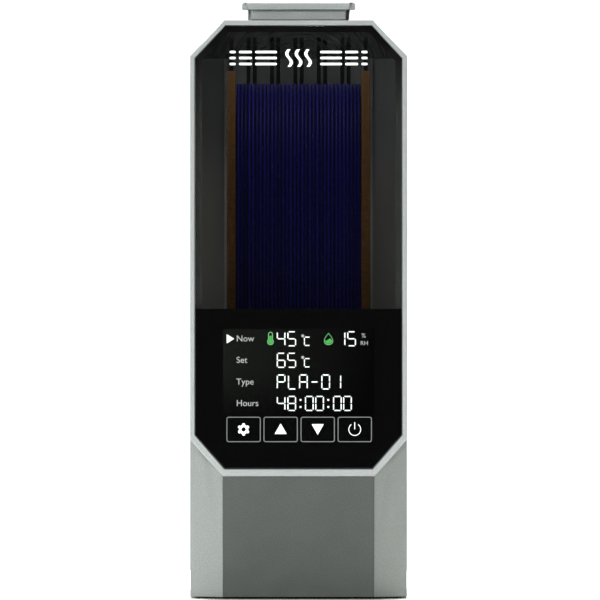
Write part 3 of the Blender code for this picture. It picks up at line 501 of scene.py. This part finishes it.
def inked_arc(x, z, inner, outer, start, end):
    """A curved stroke about (x, z), from one angle to another, in degrees from the top."""
    bm = bmesh.new()
    front = INK_Y - INK
    corners = [(inner, INK_Y), (outer, INK_Y), (outer, front), (inner, front)]
    face = bm.faces.new([bm.verts.new((0, across, radius)) for radius, across in corners])
    geom = [face, *face.edges, *face.verts]
    turned = Matrix.Rotation(math.radians(start), 3, "Y")
    bmesh.ops.rotate(bm, verts=bm.verts, cent=(0, 0, 0), matrix=turned)
    angle = math.radians(end - start)
    bmesh.ops.spin(bm, geom=geom, cent=(0, 0, 0), axis=(0, 1, 0), angle=angle, steps=24)
    bmesh.ops.translate(bm, verts=bm.verts, vec=(x, 0, z))
    bmesh.ops.recalc_face_normals(bm, faces=bm.faces)
    return bm


def rounded_rectangle(width, height, radius, x, z, steps=6):
    """Points of a rectangle with round corners, about (x, z)."""
    points = []
    for corner, (right, up) in enumerate([(1, 1), (-1, 1), (-1, -1), (1, -1)]):
        middle_x, middle_z = x + right * (width / 2 - radius), z + up * (height / 2 - radius)
        for step in range(steps + 1):
            angle = math.radians(90 * (corner + step / steps))
            points.append((middle_x + radius * math.cos(angle), middle_z + radius * math.sin(angle)))
    return points


def circle_points(x, z, radius, count):
    """Points of a circle about (x, z)."""
    steps = [2 * math.pi * i / count for i in range(count)]
    return [(x + radius * math.cos(a), z + radius * math.sin(a)) for a in steps]


# ---- front ----


def window():
    """One sheet: clear smoke above, printed black from the display's edge down."""
    bm = eased(merged_copy("front_window"), 0.3, 2, 8)
    geom = bm.verts[:] + bm.edges[:] + bm.faces[:]
    bmesh.ops.bisect_plane(bm, geom=geom, plane_co=(0, 0, DISPLAY_TOP), plane_no=(0, 0, 1))
    for face in bm.faces:
        face.material_index = 1 if face.calc_center_median().z < DISPLAY_TOP else 0
    made_flat("window_sheet", bm, [WINDOW, PRINT], "front_window")


def window_border():
    """Printed band round the sheet's edge that covers its seat."""
    bm = merged_copy("front_window")
    back = [face for face in bm.faces if face.normal.y > 0.99]
    others = [face for face in bm.faces if face not in back]
    bmesh.ops.delete(bm, geom=others, context="FACES")
    ring = bmesh.ops.inset_region(bm, faces=bm.faces[:], thickness=3.3 * MM, use_boundary=True)["faces"]
    inner = [face for face in bm.faces if face not in ring]
    bmesh.ops.delete(bm, geom=inner, context="FACES")
    bmesh.ops.solidify(bm, geom=bm.faces[:], thickness=-0.08 * MM)
    bmesh.ops.translate(bm, verts=bm.verts, vec=(0, 0.06 * MM, 0))
    bmesh.ops.recalc_face_normals(bm, faces=bm.faces)
    made("window_border", bm, PAINTED_SHADE_BORDER, body="base")


# The bars that are lit for each sign: a at the top, b to f clockwise from there, g in the middle
LIT_BARS = {
    "0": "abcdef", "1": "bc", "4": "bcfg", "5": "acdfg", "6": "acdefg", "8": "abcdefg",
    "-": "g", "P": "abefg", "L": "def", "A": "abcefg",
}  # fmt: skip


def bars():
    """The seven bars of a figure, as outlines about its middle."""
    w, h, t, gap, soft = DIGIT_WIDTH / 2, DIGIT_HEIGHT / 2, STROKE, 0.26 * MM, 0.3 * MM
    top = [(soft - w + gap, h), (w - soft - gap, h), (w - t - gap, h - t), (t + gap - w, h - t)]
    side = [(-w, h - soft - gap), (-w, gap), (gap - w + t / 2, gap)]
    side += [(t - w, t / 2 + gap), (t - w, h - t - gap)]
    middle = [(t / 2 + gap - w, 0), (t + gap - w, t / 2), (w - t - gap, t / 2), (w - t / 2 - gap, 0)]
    middle += [(w - t - gap, -t / 2), (t + gap - w, -t / 2)]
    flip = {"a": (1, 1), "d": (1, -1), "f": (1, 1), "b": (-1, 1), "e": (1, -1), "c": (-1, -1), "g": (1, 1)}
    shapes = {"a": top, "d": top, "g": middle}
    return {key: [(x * sx, z * sz) for x, z in shapes.get(key, side)] for key, (sx, sz) in flip.items()}


def figure(sign, x, z):
    """A seven-segment figure about (x, z)."""
    outlines = bars()
    return [inked([(x + u, z + v) for u, v in outlines[key]]) for key in LIT_BARS[sign]]


def words(text, x, z, cap):
    """Plain letters from x to the right, with capitals of a height, as a film on the window."""
    cap_share = 0.73  # how tall the font's capitals are beside its size
    curve = bpy.data.curves.new("words", "FONT")
    curve.body = text
    curve.size = cap / cap_share
    curve.extrude = INK / 2
    holder = bpy.data.objects.new("words", curve)
    bpy.context.scene.collection.objects.link(holder)
    bpy.context.view_layer.update()
    mesh = bpy.data.meshes.new_from_object(holder)
    bpy.data.objects.remove(holder)
    bm = bmesh.new()
    bm.from_mesh(mesh)
    bpy.data.meshes.remove(mesh)
    for vert in bm.verts:
        vert.co = (x + vert.co.x, INK_Y - INK / 2 - vert.co.z, z - cap / 2 + vert.co.y)
    return bm


def display():
    """The film and everything that lights up on it."""
    wide, tall, corner, middle = 73.2 * MM, 43.4 * MM, 1.5 * MM, 109.1 * MM
    film = inked(rounded_rectangle(wide, tall, corner, 0, middle), FACE - 0.002 * MM, 0.006 * MM)
    made("display_film", film, LCD, body="base")
    shown = [("4", TENS, 0), ("5", ONES, 0), ("1", 20.6 * MM, 0), ("5", 25.7 * MM, 0)]
    shown += [("6", TENS, 1), ("5", ONES, 1)]
    shown += [(sign, TENS + place * 5.4 * MM, 2) for place, sign in enumerate("PLA-01")]
    shown += [("4", TENS, 3), ("8", ONES, 3), ("0", 5.2 * MM, 3), ("0", 10.2 * MM, 3)]
    shown += [("0", 18.8 * MM, 3), ("0", 23.7 * MM, 3)]
    figures = [bar for sign, x, row in shown for bar in figure(sign, x, ROWS[row])]
    dot, dot_corner, apart = 0.9 * MM, 0.2 * MM, 1.7 * MM
    for x in (0.95 * MM, 14.4 * MM):
        for rise in (-apart, apart):
            figures.append(inked(rounded_rectangle(dot, dot, dot_corner, x, ROWS[3] + rise, 2)))
    units = []
    for z in ROWS[:2]:
        units.append(inked(circle_points(2.05 * MM, z + 1.4 * MM, 0.72 * MM, 16)))
        figures += celsius(3.95 * MM, z - 1.2 * MM)
    units.append(words("%", 30.5 * MM, ROWS[0] + 1.7 * MM, 2.2 * MM))
    units.append(words("RH", 29.9 * MM, ROWS[0] - 2.0 * MM, 2.1 * MM))
    for text, z in zip(("Now", "Set", "Type", "Hours"), ROWS):
        units.append(words(text, -30.2 * MM, z + 0.3 * MM, 3.1 * MM))
    left, tip, half = -34.8 * MM, -31.2 * MM, 2.2 * MM
    pointer = inked([(left, ROWS[0] - half), (tip, ROWS[0]), (left, ROWS[0] + half)])
    made("display_pointer", pointer, SEGMENT, body="base")
    made("display_figures", joined(figures), SEGMENT, body="base")
    made("display_labels", joined(units), LABEL, body="base")
    outlines, fillings = zip(thermometer(), drop())
    made("display_symbols", joined(outlines), PALE_GREEN, body="base")
    made("display_levels", joined(fillings), GREEN, body="base")


def celsius(x, z):
    """The unit's letter in four bars, a size smaller than the figures."""
    w, h, t = 1.35 * MM, 2.25 * MM, 0.48 * MM
    slant, gap, cut = 0.1 * MM, 0.12 * MM, 0.25 * MM
    top = [(t - w, h), (w, h), (w, h - t), (t + slant - w, h - t)]
    side = [(-w, h - t), (-w, gap), (t - w, gap), (t - w, h - t - cut)]
    outlines = [[(u, v * way) for u, v in shape] for shape in (top, side) for way in (1, -1)]
    return [inked([(x + u, z + v) for u, v in outline]) for outline in outlines]


def keyhole(x, bulb, top, half, radius):
    """Outline of a thermometer: a bulb with a round-ended stem above it."""
    neck = math.asin(half / radius)
    round_bulb = [neck + (2 * math.pi - 2 * neck) * step / 24 for step in range(25)]
    round_end = [math.pi * step / 10 for step in range(11)]
    points = [(x + radius * math.sin(a), bulb + radius * math.cos(a)) for a in round_bulb]
    return points + [(x - half * math.cos(a), top - half + half * math.sin(a)) for a in round_end]


def thermometer():
    """Outline in light green and what stands in the stem in a deeper one."""
    x, bulb, top, reading = -13.6 * MM, 124.7 * MM, 129.5 * MM, 127.6 * MM
    outer = keyhole(x, bulb, top, 1.15 * MM, 1.6 * MM)
    inner = keyhole(x, bulb, top - 0.4 * MM, 0.72 * MM, 1.18 * MM)
    return inked_ring(outer, inner), inked(keyhole(x, bulb, reading, 0.6 * MM, 1.05 * MM))


def drop():
    """Outline of a drop and the water in its lower half."""
    x, z, size, line, inset, breadth = 14.5 * MM, 126.0 * MM, 2.9 * MM, 0.42 * MM, 0.6 * MM, 0.99
    steps = [2 * math.pi * i / 48 for i in range(48)]

    def outline(scale):
        """Points of a drop whose tip and foot stand scale from its middle."""
        across = [breadth * scale * math.sin(a) * math.sin(a / 2) for a in steps]
        return [(x + u, z + scale * math.cos(a)) for u, a in zip(across, steps)]

    outer, inner, core = outline(size), outline(size - line), outline(size - inset)
    water = [point for point in core if point[1] < z - 0.35 * MM]
    water += [(x - 0.9 * MM, z - 0.75 * MM), (x - 0.2 * MM, z - 0.3 * MM), (x + 0.7 * MM, z + 0.35 * MM)]
    return inked_ring(outer, inner), inked(water)


def keys():
    """Four printed keys, each an outline with its sign."""
    shift, line, corner = 0.3 * MM, 0.45 * MM, 1.1 * MM
    x = [(place - 1.5) * KEY_PITCH + shift for place in range(4)]
    outlines = []
    for middle in x:
        outer = rounded_rectangle(KEY_WIDTH, KEY_HEIGHT, corner, middle, KEY_Z)
        hole = KEY_WIDTH - 2 * line, KEY_HEIGHT - 2 * line, corner - line
        outlines.append(inked_ring(outer, rounded_rectangle(*hole, middle, KEY_Z)))
    half, rise, raised_by = 2.9 * MM, 2.55 * MM, 0.35 * MM
    signs = [gear(x[0], KEY_Z)]
    for place, way, middle in ((1, 1, KEY_Z + raised_by), (2, -1, KEY_Z)):
        low, high = middle - way * rise, middle + way * rise
        signs.append(inked([(x[place] - half, low), (x[place] + half, low), (x[place], high)]))
    ring, stroke, opening = 3.05 * MM, 0.3 * MM, 35
    signs.append(inked_arc(x[3], KEY_Z, ring - stroke, ring, opening, 360 - opening))
    wide, tall, soft, lift = 0.36 * MM, 3.5 * MM, 0.16 * MM, 1.8 * MM
    signs.append(inked(rounded_rectangle(wide, tall, soft, x[3], KEY_Z + lift, 3)))
    made("key_outlines", joined(outlines), KEY_LINE, body="base")
    made("key_signs", joined(signs), KEY_SIGN, body="base")


def gear(x, z):
    """A cog's outline: six broad teeth round a hole."""
    count, teeth, root, tooth, hole = 96, 6, 2.2 * MM, 0.72 * MM, 1.1 * MM
    outer = []
    for step in range(count):
        angle = 2 * math.pi * step / count
        radius = root + tooth * min(1, max(0, 0.5 + 1.4 * math.cos(teeth * angle)))
        outer.append((x + radius * math.sin(angle), z + radius * math.cos(angle)))
    inner = circle_points(x, z, hole, count)
    start = count // 4  # where the hole's first point lies under the top tooth
    return inked_ring(outer, inner[start::-1] + inner[:start:-1])


def warm_air_mark():
    """A plain sign for warm air over the window's top: waves between rows of bars."""
    wave_pitch, wave_height, start, gap, shares = 4.6 * MM, 8.4 * MM, 10.5 * MM, 1.6 * MM, (0.5, 0.3, 0.14)
    tall, soft, row_pitch = 1.15 * MM, 0.55 * MM, 2.9 * MM
    shapes = [wave(place * wave_pitch, MARK_Z, wave_height) for place in (-1, 0, 1)]
    room = MARK_HALF - start - 2 * gap
    for side in (-1, 1):
        at = start
        for share in shares:
            length = room * share / sum(shares)
            for rise in (-row_pitch, 0, row_pitch):
                middle = side * (at + length / 2)
                shapes.append(inked(rounded_rectangle(length, tall, soft, middle, MARK_Z + rise, 4)))
            at += length + gap
    made("window_mark", joined(shapes), MARK, body="base")


def wave(x, z, height):
    """An upright S of even stroke, a little finer than the mark's own stroke."""
    half, reach, steps = MARK_STROKE / 2 * 0.85, 1.1 * MM, 28
    left, right = [], []
    for step in range(steps + 1):
        part = step / steps
        sway = reach * math.sin(2 * math.pi * part)
        rise = z + height * (part - 0.5)
        left.append((x + sway - half, rise))
        right.append((x + sway + half, rise))
    return inked(left[::-1] + right)


def snug_bezel():
    """The bezel, with its lower edge pressed down into its seat on the housing."""
    bm = merged_copy("front_bezel")
    press, near = 0.24 * MM, 0.1 * MM
    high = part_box("front_bezel")[1]
    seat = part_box("lower_front_panel")[1].z + 0.5 * MM
    for vert in bm.verts:
        if vert.co.z < seat or (abs(vert.co.x) > high.x - near and vert.co.z < KEY_Z):
            vert.co.z -= press
    eased(bm, 0.45, 3, 6, below=high.z - near)
    made_flat("front_bezel_frame", bm, RIM, "front_bezel")


def snug_panel():
    """The grey panel, closed up to the columns beside it."""
    bm = merged_copy("lower_front_panel")
    growth, half = 0.25 * MM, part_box("lower_front_panel")[1].x
    bmesh.ops.scale(bm, verts=bm.verts, vec=(1 + growth / half, 1, 1))
    made_flat("lower_panel_sheet", eased(bm, 0.15, 2, 6), GREY, "lower_front_panel")


def front():
    """Bezel, panel and window with all that is printed or lit on it."""
    snug_bezel()
    snug_panel()
    window()
    window_border()
    display()
    keys()
    warm_air_mark()


# ---- casing ----


def casing():
    """Housing, bottom cover and the power inlet with its two pins."""
    softened("base_housing", 0.6, 3, 7)
    softened("bottom_cover", 0.4, 2, 7)
    softened("power_inlet", 0.5, 2, 6)
    low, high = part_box("power_inlet")
    middle, level = (low.x + high.x) / 2, (low.z + high.z) / 2
    radius, apart = 1.26 * MM, 4.3 * MM
    tip, root = high.y - 5 * MM, high.y - 15.5 * MM
    profile = [(0, root), (radius, root), (radius, tip - 0.4 * MM), (0.9 * MM, tip), (0, tip + 0.25 * MM)]
    for name, side in (("left", -1), ("right", 1)):
        contact = lathe(profile, "Y", (middle + side * apart, 0, level), 24)
        made(f"inlet_pin_{name}", contact, STEEL, body="base")


def foot(node):
    """Round rubber foot with two grooves in its sole."""
    _, high, radius, centre = upright(node)
    slope, deep, land, soft = 0.3 * MM, 0.35 * MM, 0.6 * MM, 0.6 * MM
    profile = [(0, 0)]
    for groove in (1.6 * MM, 4.0 * MM):
        bottom = groove + slope, groove + slope + land
        profile += [(groove, 0), (bottom[0], deep), (bottom[1], deep), (bottom[1] + slope, 0)]
    profile += [(radius - soft, 0), (radius, soft), (radius, high.z), (0, high.z)]
    made(f"{node}_pad", lathe(profile, "Z", centre), RUBBER, node)


def screw(node):
    """Pan-head screw with a cross recess and a threaded shank, its head downwards."""
    low, high, radius, centre = upright(node)
    crown, tip = low.z, high.z
    head = 0.9 * MM if node.startswith("cover") else 1.6 * MM
    seat = crown + head
    shank, pitch, deep = 1.5 * MM, 0.5 * MM, 0.2 * MM
    profile = [(0, crown), (radius * 0.62, crown), (radius * 0.93, crown + head * 0.4)]
    profile += [(radius, seat), (shank, seat)]
    turn = seat + pitch
    while tip - turn > 2 * pitch:
        profile += [(shank - deep, turn), (shank, turn + pitch / 2)]
        turn += pitch
    profile += [(shank * 0.8, tip - 0.6 * MM), (0, tip)]
    bm = lathe(profile, "Z", centre, 32)
    cap = [face for face in bm.faces if abs(face.calc_center_median().z - crown) < 0.001 * MM]
    bmesh.ops.dissolve_faces(bm, faces=cap)
    piece = made(f"{node}_body", bm, STEEL, node)
    long, narrow = 2.4 * MM, 0.6 * MM
    for number, (wide, broad) in enumerate(((long, narrow), (narrow, long))):
        arm = bmesh.new()
        bmesh.ops.create_cube(arm, size=1)
        bmesh.ops.scale(arm, verts=arm.verts, vec=(wide, broad, head * 1.1))
        bmesh.ops.translate(arm, verts=arm.verts, vec=Vector(centre) + Vector((0, 0, crown)))
        carve(piece, arm, f"{node}_recess_{number}")


def carve(piece, shape, name):
    """Takes a shape out of a piece for good."""
    mesh = bpy.data.meshes.new(name)
    shape.to_mesh(mesh)
    shape.free()
    tool = bpy.data.objects.new(name, mesh)
    bpy.context.scene.collection.objects.link(tool)
    cut = piece.modifiers.new("cut", "BOOLEAN")
    cut.object, cut.operation, cut.solver = tool, "DIFFERENCE", "EXACT"
    bpy.context.view_layer.update()
    result = bpy.data.meshes.new_from_object(piece.evaluated_get(bpy.context.evaluated_depsgraph_get()))
    piece.modifiers.remove(cut)
    piece.data = result
    bpy.data.objects.remove(tool)


def underside():
    """Four feet and the four screws beside them."""
    for y in ("front", "rear"):
        for x in ("left", "right"):
            foot(f"foot_{y}_{x}")
            screw(f"cover_screw_{y}_{x}")


# ---- chamber ----


def board(node, top):
    """A green board with its parts in black, which are all that stands above its top."""
    bm = eased(merged_copy(node), 0.2, 1, 3)
    for face in bm.faces:
        face.material_index = 1 if face.calc_center_median().z > top + 0.1 * MM else 0
    made_flat(f"{node}_assembly", bm, [BOARD, BLACK], node)


def bay():
    """Everything under the chamber's floor, and what stands behind the display."""
    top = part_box("control_board")[0].z + BOARD_THICKNESS
    for node in ("control_board", "power_board"):
        board(node, top)
    softened("bay_divider", 0.3, 2, 6)
    softened("fan_frame", 0.4, 2, 5)
    softened("fan_rotor", 0.2, 1, 5, 40)
    softened("heater_frame", 0.4, 2, 6)
    softened("heater_core", 0.15, 1, 6)
    low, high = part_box("thermal_cutout")
    radius, centre = (high.x - low.x) / 2, ((low.x + high.x) / 2, 0, (low.z + high.z) / 2)
    collar, can, soft = low.y + 0.9 * MM, radius - 1.5 * MM, 0.5 * MM
    profile = [(0, low.y), (radius, low.y), (radius, collar), (can, collar)]
    profile += [(can, high.y - soft), (can - soft, high.y), (0, high.y)]
    made("thermal_cutout_can", lathe(profile, "Y", centre, 36), ALUMINIUM, "thermal_cutout")
    softened("humidity_sensor", 0.2, 2, 2)
    softened("lcd_module", 0.4, 2, 3)
    softened("touch_board", 0.15, 1, 3)
    softened("display_cable", 0.05, 1, 3)


def chamber():
    """Floor, duct and the two roller sets that carry the spool."""
    softened("chamber_floor", 0.3, 2, 1.5)
    softened("rear_duct_panel", 0.25, 2, 1.5)
    softened("rear_duct_cover", 0.4, 2, 3, material=DUCT_BACK)
    for end in ("front", "rear"):
        softened(f"roller_cradle_{end}", 0.6, 3, 2.2, 40)
        axle(f"roller_axle_{end}")
        for side in ("left", "right"):
            roller(f"roller_{end}_{side}")


def axle(node):
    """Drawn steel rod with its ends chamfered."""
    low, high, radius, centre = lying(node)
    soft = 0.4 * MM
    profile = [(0, low.x), (radius - soft, low.x), (radius, low.x + soft)]
    profile += [(radius, high.x - soft), (radius - soft, high.x), (0, high.x)]
    made(f"{node}_rod", lathe(profile, "X", centre, 32), AXLE_STEEL, node)


def roller(node):
    """Acetal roller with a rounded tread, recessed cheeks and a hub round the axle."""
    low, high, radius, centre = lying(node)
    bore, hub, tread, slope, soft, dip = 2.1 * MM, 4.2 * MM, 2.2 * MM, 0.4 * MM, 0.8 * MM, 0.9 * MM
    half = [(bore, 0), (hub, 0), (hub + slope, dip), (radius - tread - slope, dip), (radius - tread, 0)]
    half += [(radius - soft, 0), (radius - 0.25 * soft, 0.25 * soft), (radius, soft)]
    left = [(r, low.x + a) for r, a in half]
    right = [(r, high.x - a) for r, a in reversed(half)]
    made(f"{node}_wheel", lathe(left + right, "X", centre, 64), ROLLER, node)


# ---- spool ----


def spool():
    """The winding, its two flanges and the hub."""
    low, high = WINDING_LOW, WINDING_HIGH
    centre = (0, (low.y + high.y) / 2, (low.z + high.z) / 2)
    outer = (high.z - low.z) / 2
    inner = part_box("spool_hub")[1].z - centre[2] + 0.3 * MM
    strand, reach = PITCH / 2, 0.92 * math.pi / 2  # each turn shows a little less than a half circle
    profile = [(inner, high.x), (inner, low.x)]
    for turn in range(TURNS):
        middle = low.x + (turn + 0.5) * PITCH
        for angle in (-reach, -reach / 2, 0, reach / 2, reach):
            profile.append((outer - strand + strand * math.cos(angle), middle + strand * math.sin(angle)))
    made("filament_turns", lathe(profile, "X", centre, 128), FILAMENT, "filament_winding", sharp=60)
    for side in ("left", "right"):
        flange(f"spool_flange_{side}", centre)
    low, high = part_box("spool_hub")
    radius, bore, soft = high.z - centre[2], SPOOL_BORE, 0.6 * MM
    groove, deep, slope = 6 * MM, 0.5 * MM, 0.3 * MM
    profile = [(bore, low.x + soft), (bore + soft, low.x), (radius, low.x), (radius, high.x)]
    profile += [(bore + soft, high.x), (bore, high.x - soft), (bore, groove)]
    profile += [(bore + deep, groove - slope), (bore + deep, slope - groove), (bore, -groove)]
    made("spool_core", lathe(profile, "X", centre, 96), KRAFT, "spool_hub")


def flange(node, centre):
    """Cardboard disc with softly crushed edges, plies at its rim and two pressed rings on its face."""
    low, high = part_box(node)
    side = 1 if low.x > 0 else -1
    near, far = (low.x, high.x) if side > 0 else (high.x, low.x)
    radius, bore = high.z - centre[2], SPOOL_BORE
    crush, worn, plies, ply_half, ply_deep = 0.4 * MM, 0.1 * MM, 4, 0.25 * MM, 0.22 * MM
    profile = [(bore, near), (radius - 0.5 * MM, near), (radius - worn, near + side * crush)]
    for ply in range(1, plies):
        at = near + side * (crush + (high.x - low.x - 2 * crush) * ply / plies)
        profile += [(radius, at - side * ply_half), (radius - ply_deep, at), (radius, at + side * ply_half)]
    profile += [(radius - worn, far - side * crush), (radius - 0.6 * MM, far)]
    wide, narrow, pressed = 1.2 * MM, 0.7 * MM, far - side * 0.35 * MM
    for ring in (82 * MM, 46 * MM):
        profile += [(ring + wide, far), (ring + narrow, pressed)]
        profile += [(ring - narrow, pressed), (ring - wide, far)]
    profile += [(bore + 0.6 * MM, far), (bore, far - side * 0.6 * MM)]
    made(f"{node}_disc", lathe(profile, "X", centre, 128), KRAFT, node)


# ---- lid ----


def handle():
    """The grip, with its sole let down to the hood so that no light shows under it."""
    bm = eased(merged_copy("lid_handle"), 0.5, 3, 2.5)
    near, gap = 0.05 * MM, 0.01 * MM
    sole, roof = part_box("lid_handle")[0].z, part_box("lid_hood")[1].z
    for vert in bm.verts:
        if vert.co.z < sole + near:
            vert.co.z = roof + gap
    made_flat("lid_handle_shell", bm, RIM, "lid_handle")


def lid():
    """Everything that swings on the hinge, the pins it swings on, and the plug."""
    softened("lid_hood", 0.8, 3, 7)
    softened("lid_rim", 0.35, 2, 5, material=RIM)
    handle()
    for side in ("left", "right"):
        softened(f"side_seal_{side}", 0.2, 2, 0.5)
        screw(f"handle_screw_{side}")
        outlet(f"filament_outlet_{side}")
        pin(f"hinge_pin_{side}")
    softened("front_seal", 0.2, 2, 2)
    plug()


def pin(node):
    """Steel hinge pin with blunt ends."""
    low, high, radius, centre = lying(node)
    face, end, soft = radius * 0.6, 0.1 * MM, 0.5 * MM
    profile = [(0, low.x), (face, low.x + end), (radius, low.x + soft)]
    profile += [(radius, high.x - soft), (face, high.x - end), (0, high.x)]
    made(f"{node}_rod", lathe(profile, "X", centre, 24), AXLE_STEEL, node)


def outlet(node):
    """Push-in outlet: a flanged body with a ribbed collar and a rounded mouth."""
    low, high, wide, centre = upright(node)
    soft, bore = 0.3 * MM, 3 * MM
    neck, seat = bore + 1.5 * MM, low.z + 5.6 * MM
    rib, root = neck + 0.3 * MM, neck - 0.1 * MM
    profile = [(bore, low.z + 0.6 * MM), (bore + 0.6 * MM, low.z), (neck - soft, low.z), (neck, low.z + soft)]
    profile += [(neck, seat), (wide - soft, seat), (wide, seat + soft), (wide, seat + 1.5 * MM)]
    profile += [(wide - 0.4 * MM, seat + 1.8 * MM), (neck + 0.6 * MM, seat + 2.0 * MM)]
    for ring in range(3):
        at = seat + (2.4 + ring * 0.9) * MM
        profile += [(rib, at), (rib, at + 0.5 * MM), (root, at + 0.7 * MM)]
    profile += [(neck + 0.1 * MM, high.z - soft), (neck - 0.2 * MM, high.z)]
    profile += [(bore + soft, high.z), (bore, high.z - soft)]
    made(f"{node}_fitting", lathe(profile, "Z", centre, 48), BLACK, node)


def plug():
    """Rubber plug with a stem that enters the outlet and a dished cap."""
    low, high, wide, centre = upright("outlet_plug")
    stem, soft, edge = 2.6 * MM, 0.6 * MM, 0.2 * MM
    dish, slope, deep = 1.6 * MM, 0.3 * MM, 0.35 * MM
    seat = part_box("filament_outlet_left")[1].z + 0.3 * MM
    profile = [(0, low.z), (stem - 0.5 * MM, low.z), (stem, low.z + soft), (stem, seat)]
    profile += [(wide - edge, seat), (wide, seat + edge), (wide, high.z - soft), (wide - soft, high.z)]
    profile += [(dish, high.z), (dish - slope, high.z - slope), (0, high.z - deep)]
    made("outlet_plug_cap", lathe(profile, "Z", centre, 48), RUBBER, "outlet_plug")


# ---- studio ----


def studio():
    """A pale floor, three soft lights and the sky."""
    floor = bmesh.new()
    bmesh.ops.create_circle(floor, cap_ends=True, radius=0.6, segments=96)
    mesh = bpy.data.meshes.new("floor")
    floor.to_mesh(mesh)
    floor.free()
    material, tree, shader = finish("pale_studio_floor", "F7F7F7", 0.8)
    shaded(tree, shader, between(tree, grain(tree, 40.0), 0, 1), "F3F3F3", "FAFAFA")
    mesh.materials.append(material)
    ground = bpy.data.objects.new("floor", mesh)
    bpy.context.scene.collection.objects.link(ground)
    lamp("key_light", (-1.2, -1.0, 0.7), 1.0, 8.0)
    lamp("front_light", (0.0, -3.0, 0.85), 0.3, 24.0)
    lamp("top_light", (0.0, 0.25, 1.25), 0.5, 38.0)
    sky()


def lamp(name, place, size, power):
    """A square soft light that faces the box."""
    light = bpy.data.lights.new(name, "AREA")
    light.size, light.energy = size, power
    holder = bpy.data.objects.new(name, light)
    holder.location = place
    holder.rotation_mode = "QUATERNION"
    aim = Vector((0, 0, 0.15)) - Vector(place)
    holder.rotation_quaternion = aim.to_track_quat("-Z", "Y")
    bpy.context.scene.collection.objects.link(holder)


def sky():
    """White behind and around the box, with a dark opening straight in front of the window."""
    world = bpy.data.worlds.new("studio")
    world.use_nodes = True
    tree = world.node_tree
    back = tree.nodes["Background"]
    place = add(tree, "ShaderNodeTexCoord")
    parts = add(tree, "ShaderNodeSeparateXYZ", links={0: place.outputs["Generated"]})
    x, y = parts.outputs["X"], parts.outputs["Y"]
    around = times(tree, between(tree, y, 0.02, 1.0, -0.97, -0.86), between(tree, x, 0.5, 0.14, -0.5, 0.5))
    rear = between(tree, y, 0.0, 0.75, 0.0, 0.6)
    both = add(tree, "ShaderNodeMath", {"operation": "ADD"}, {0: around, 1: rear})
    tree.links.new(both.outputs[0], back.inputs["Strength"])
    tint = blend(tree, between(tree, x, 0, 1, -0.6, 0.6), "FAFFFF", "FFFCF0")  # cool left, warm right
    white = blend(tree, rear, "FFFFFF", "FFFFFF")
    tree.links.new(tint.outputs[MIX_COLOUR], white.inputs[MIX_FIRST])
    tree.links.new(white.outputs[MIX_COLOUR], back.inputs["Color"])
    bpy.context.scene.world = world


def camera():
    """A very long lens at the height of the spool's top, aimed at the middle of the front."""
    lens = bpy.data.cameras.new("camera")
    lens.lens, lens.sensor_width = 1500, 36
    view_width, shift, aim, height = 290.6 * MM, 0.7 * MM, 144.9 * MM, 250 * MM
    distance = view_width * lens.lens / lens.sensor_width
    holder = bpy.data.objects.new("camera", lens)
    holder.location = (shift, CAD_BOX[0].y - distance, height)
    holder.rotation_euler = (math.pi / 2 - math.atan((height - aim) / distance), 0, 0)
    lens.clip_start, lens.clip_end = 0.1, 100
    bpy.context.scene.collection.objects.link(holder)
    bpy.context.scene.camera = holder
    bpy.context.scene.view_settings.view_transform = "Standard"


front()
casing()
underside()
bay()
chamber()
spool()
lid()
studio()
camera()
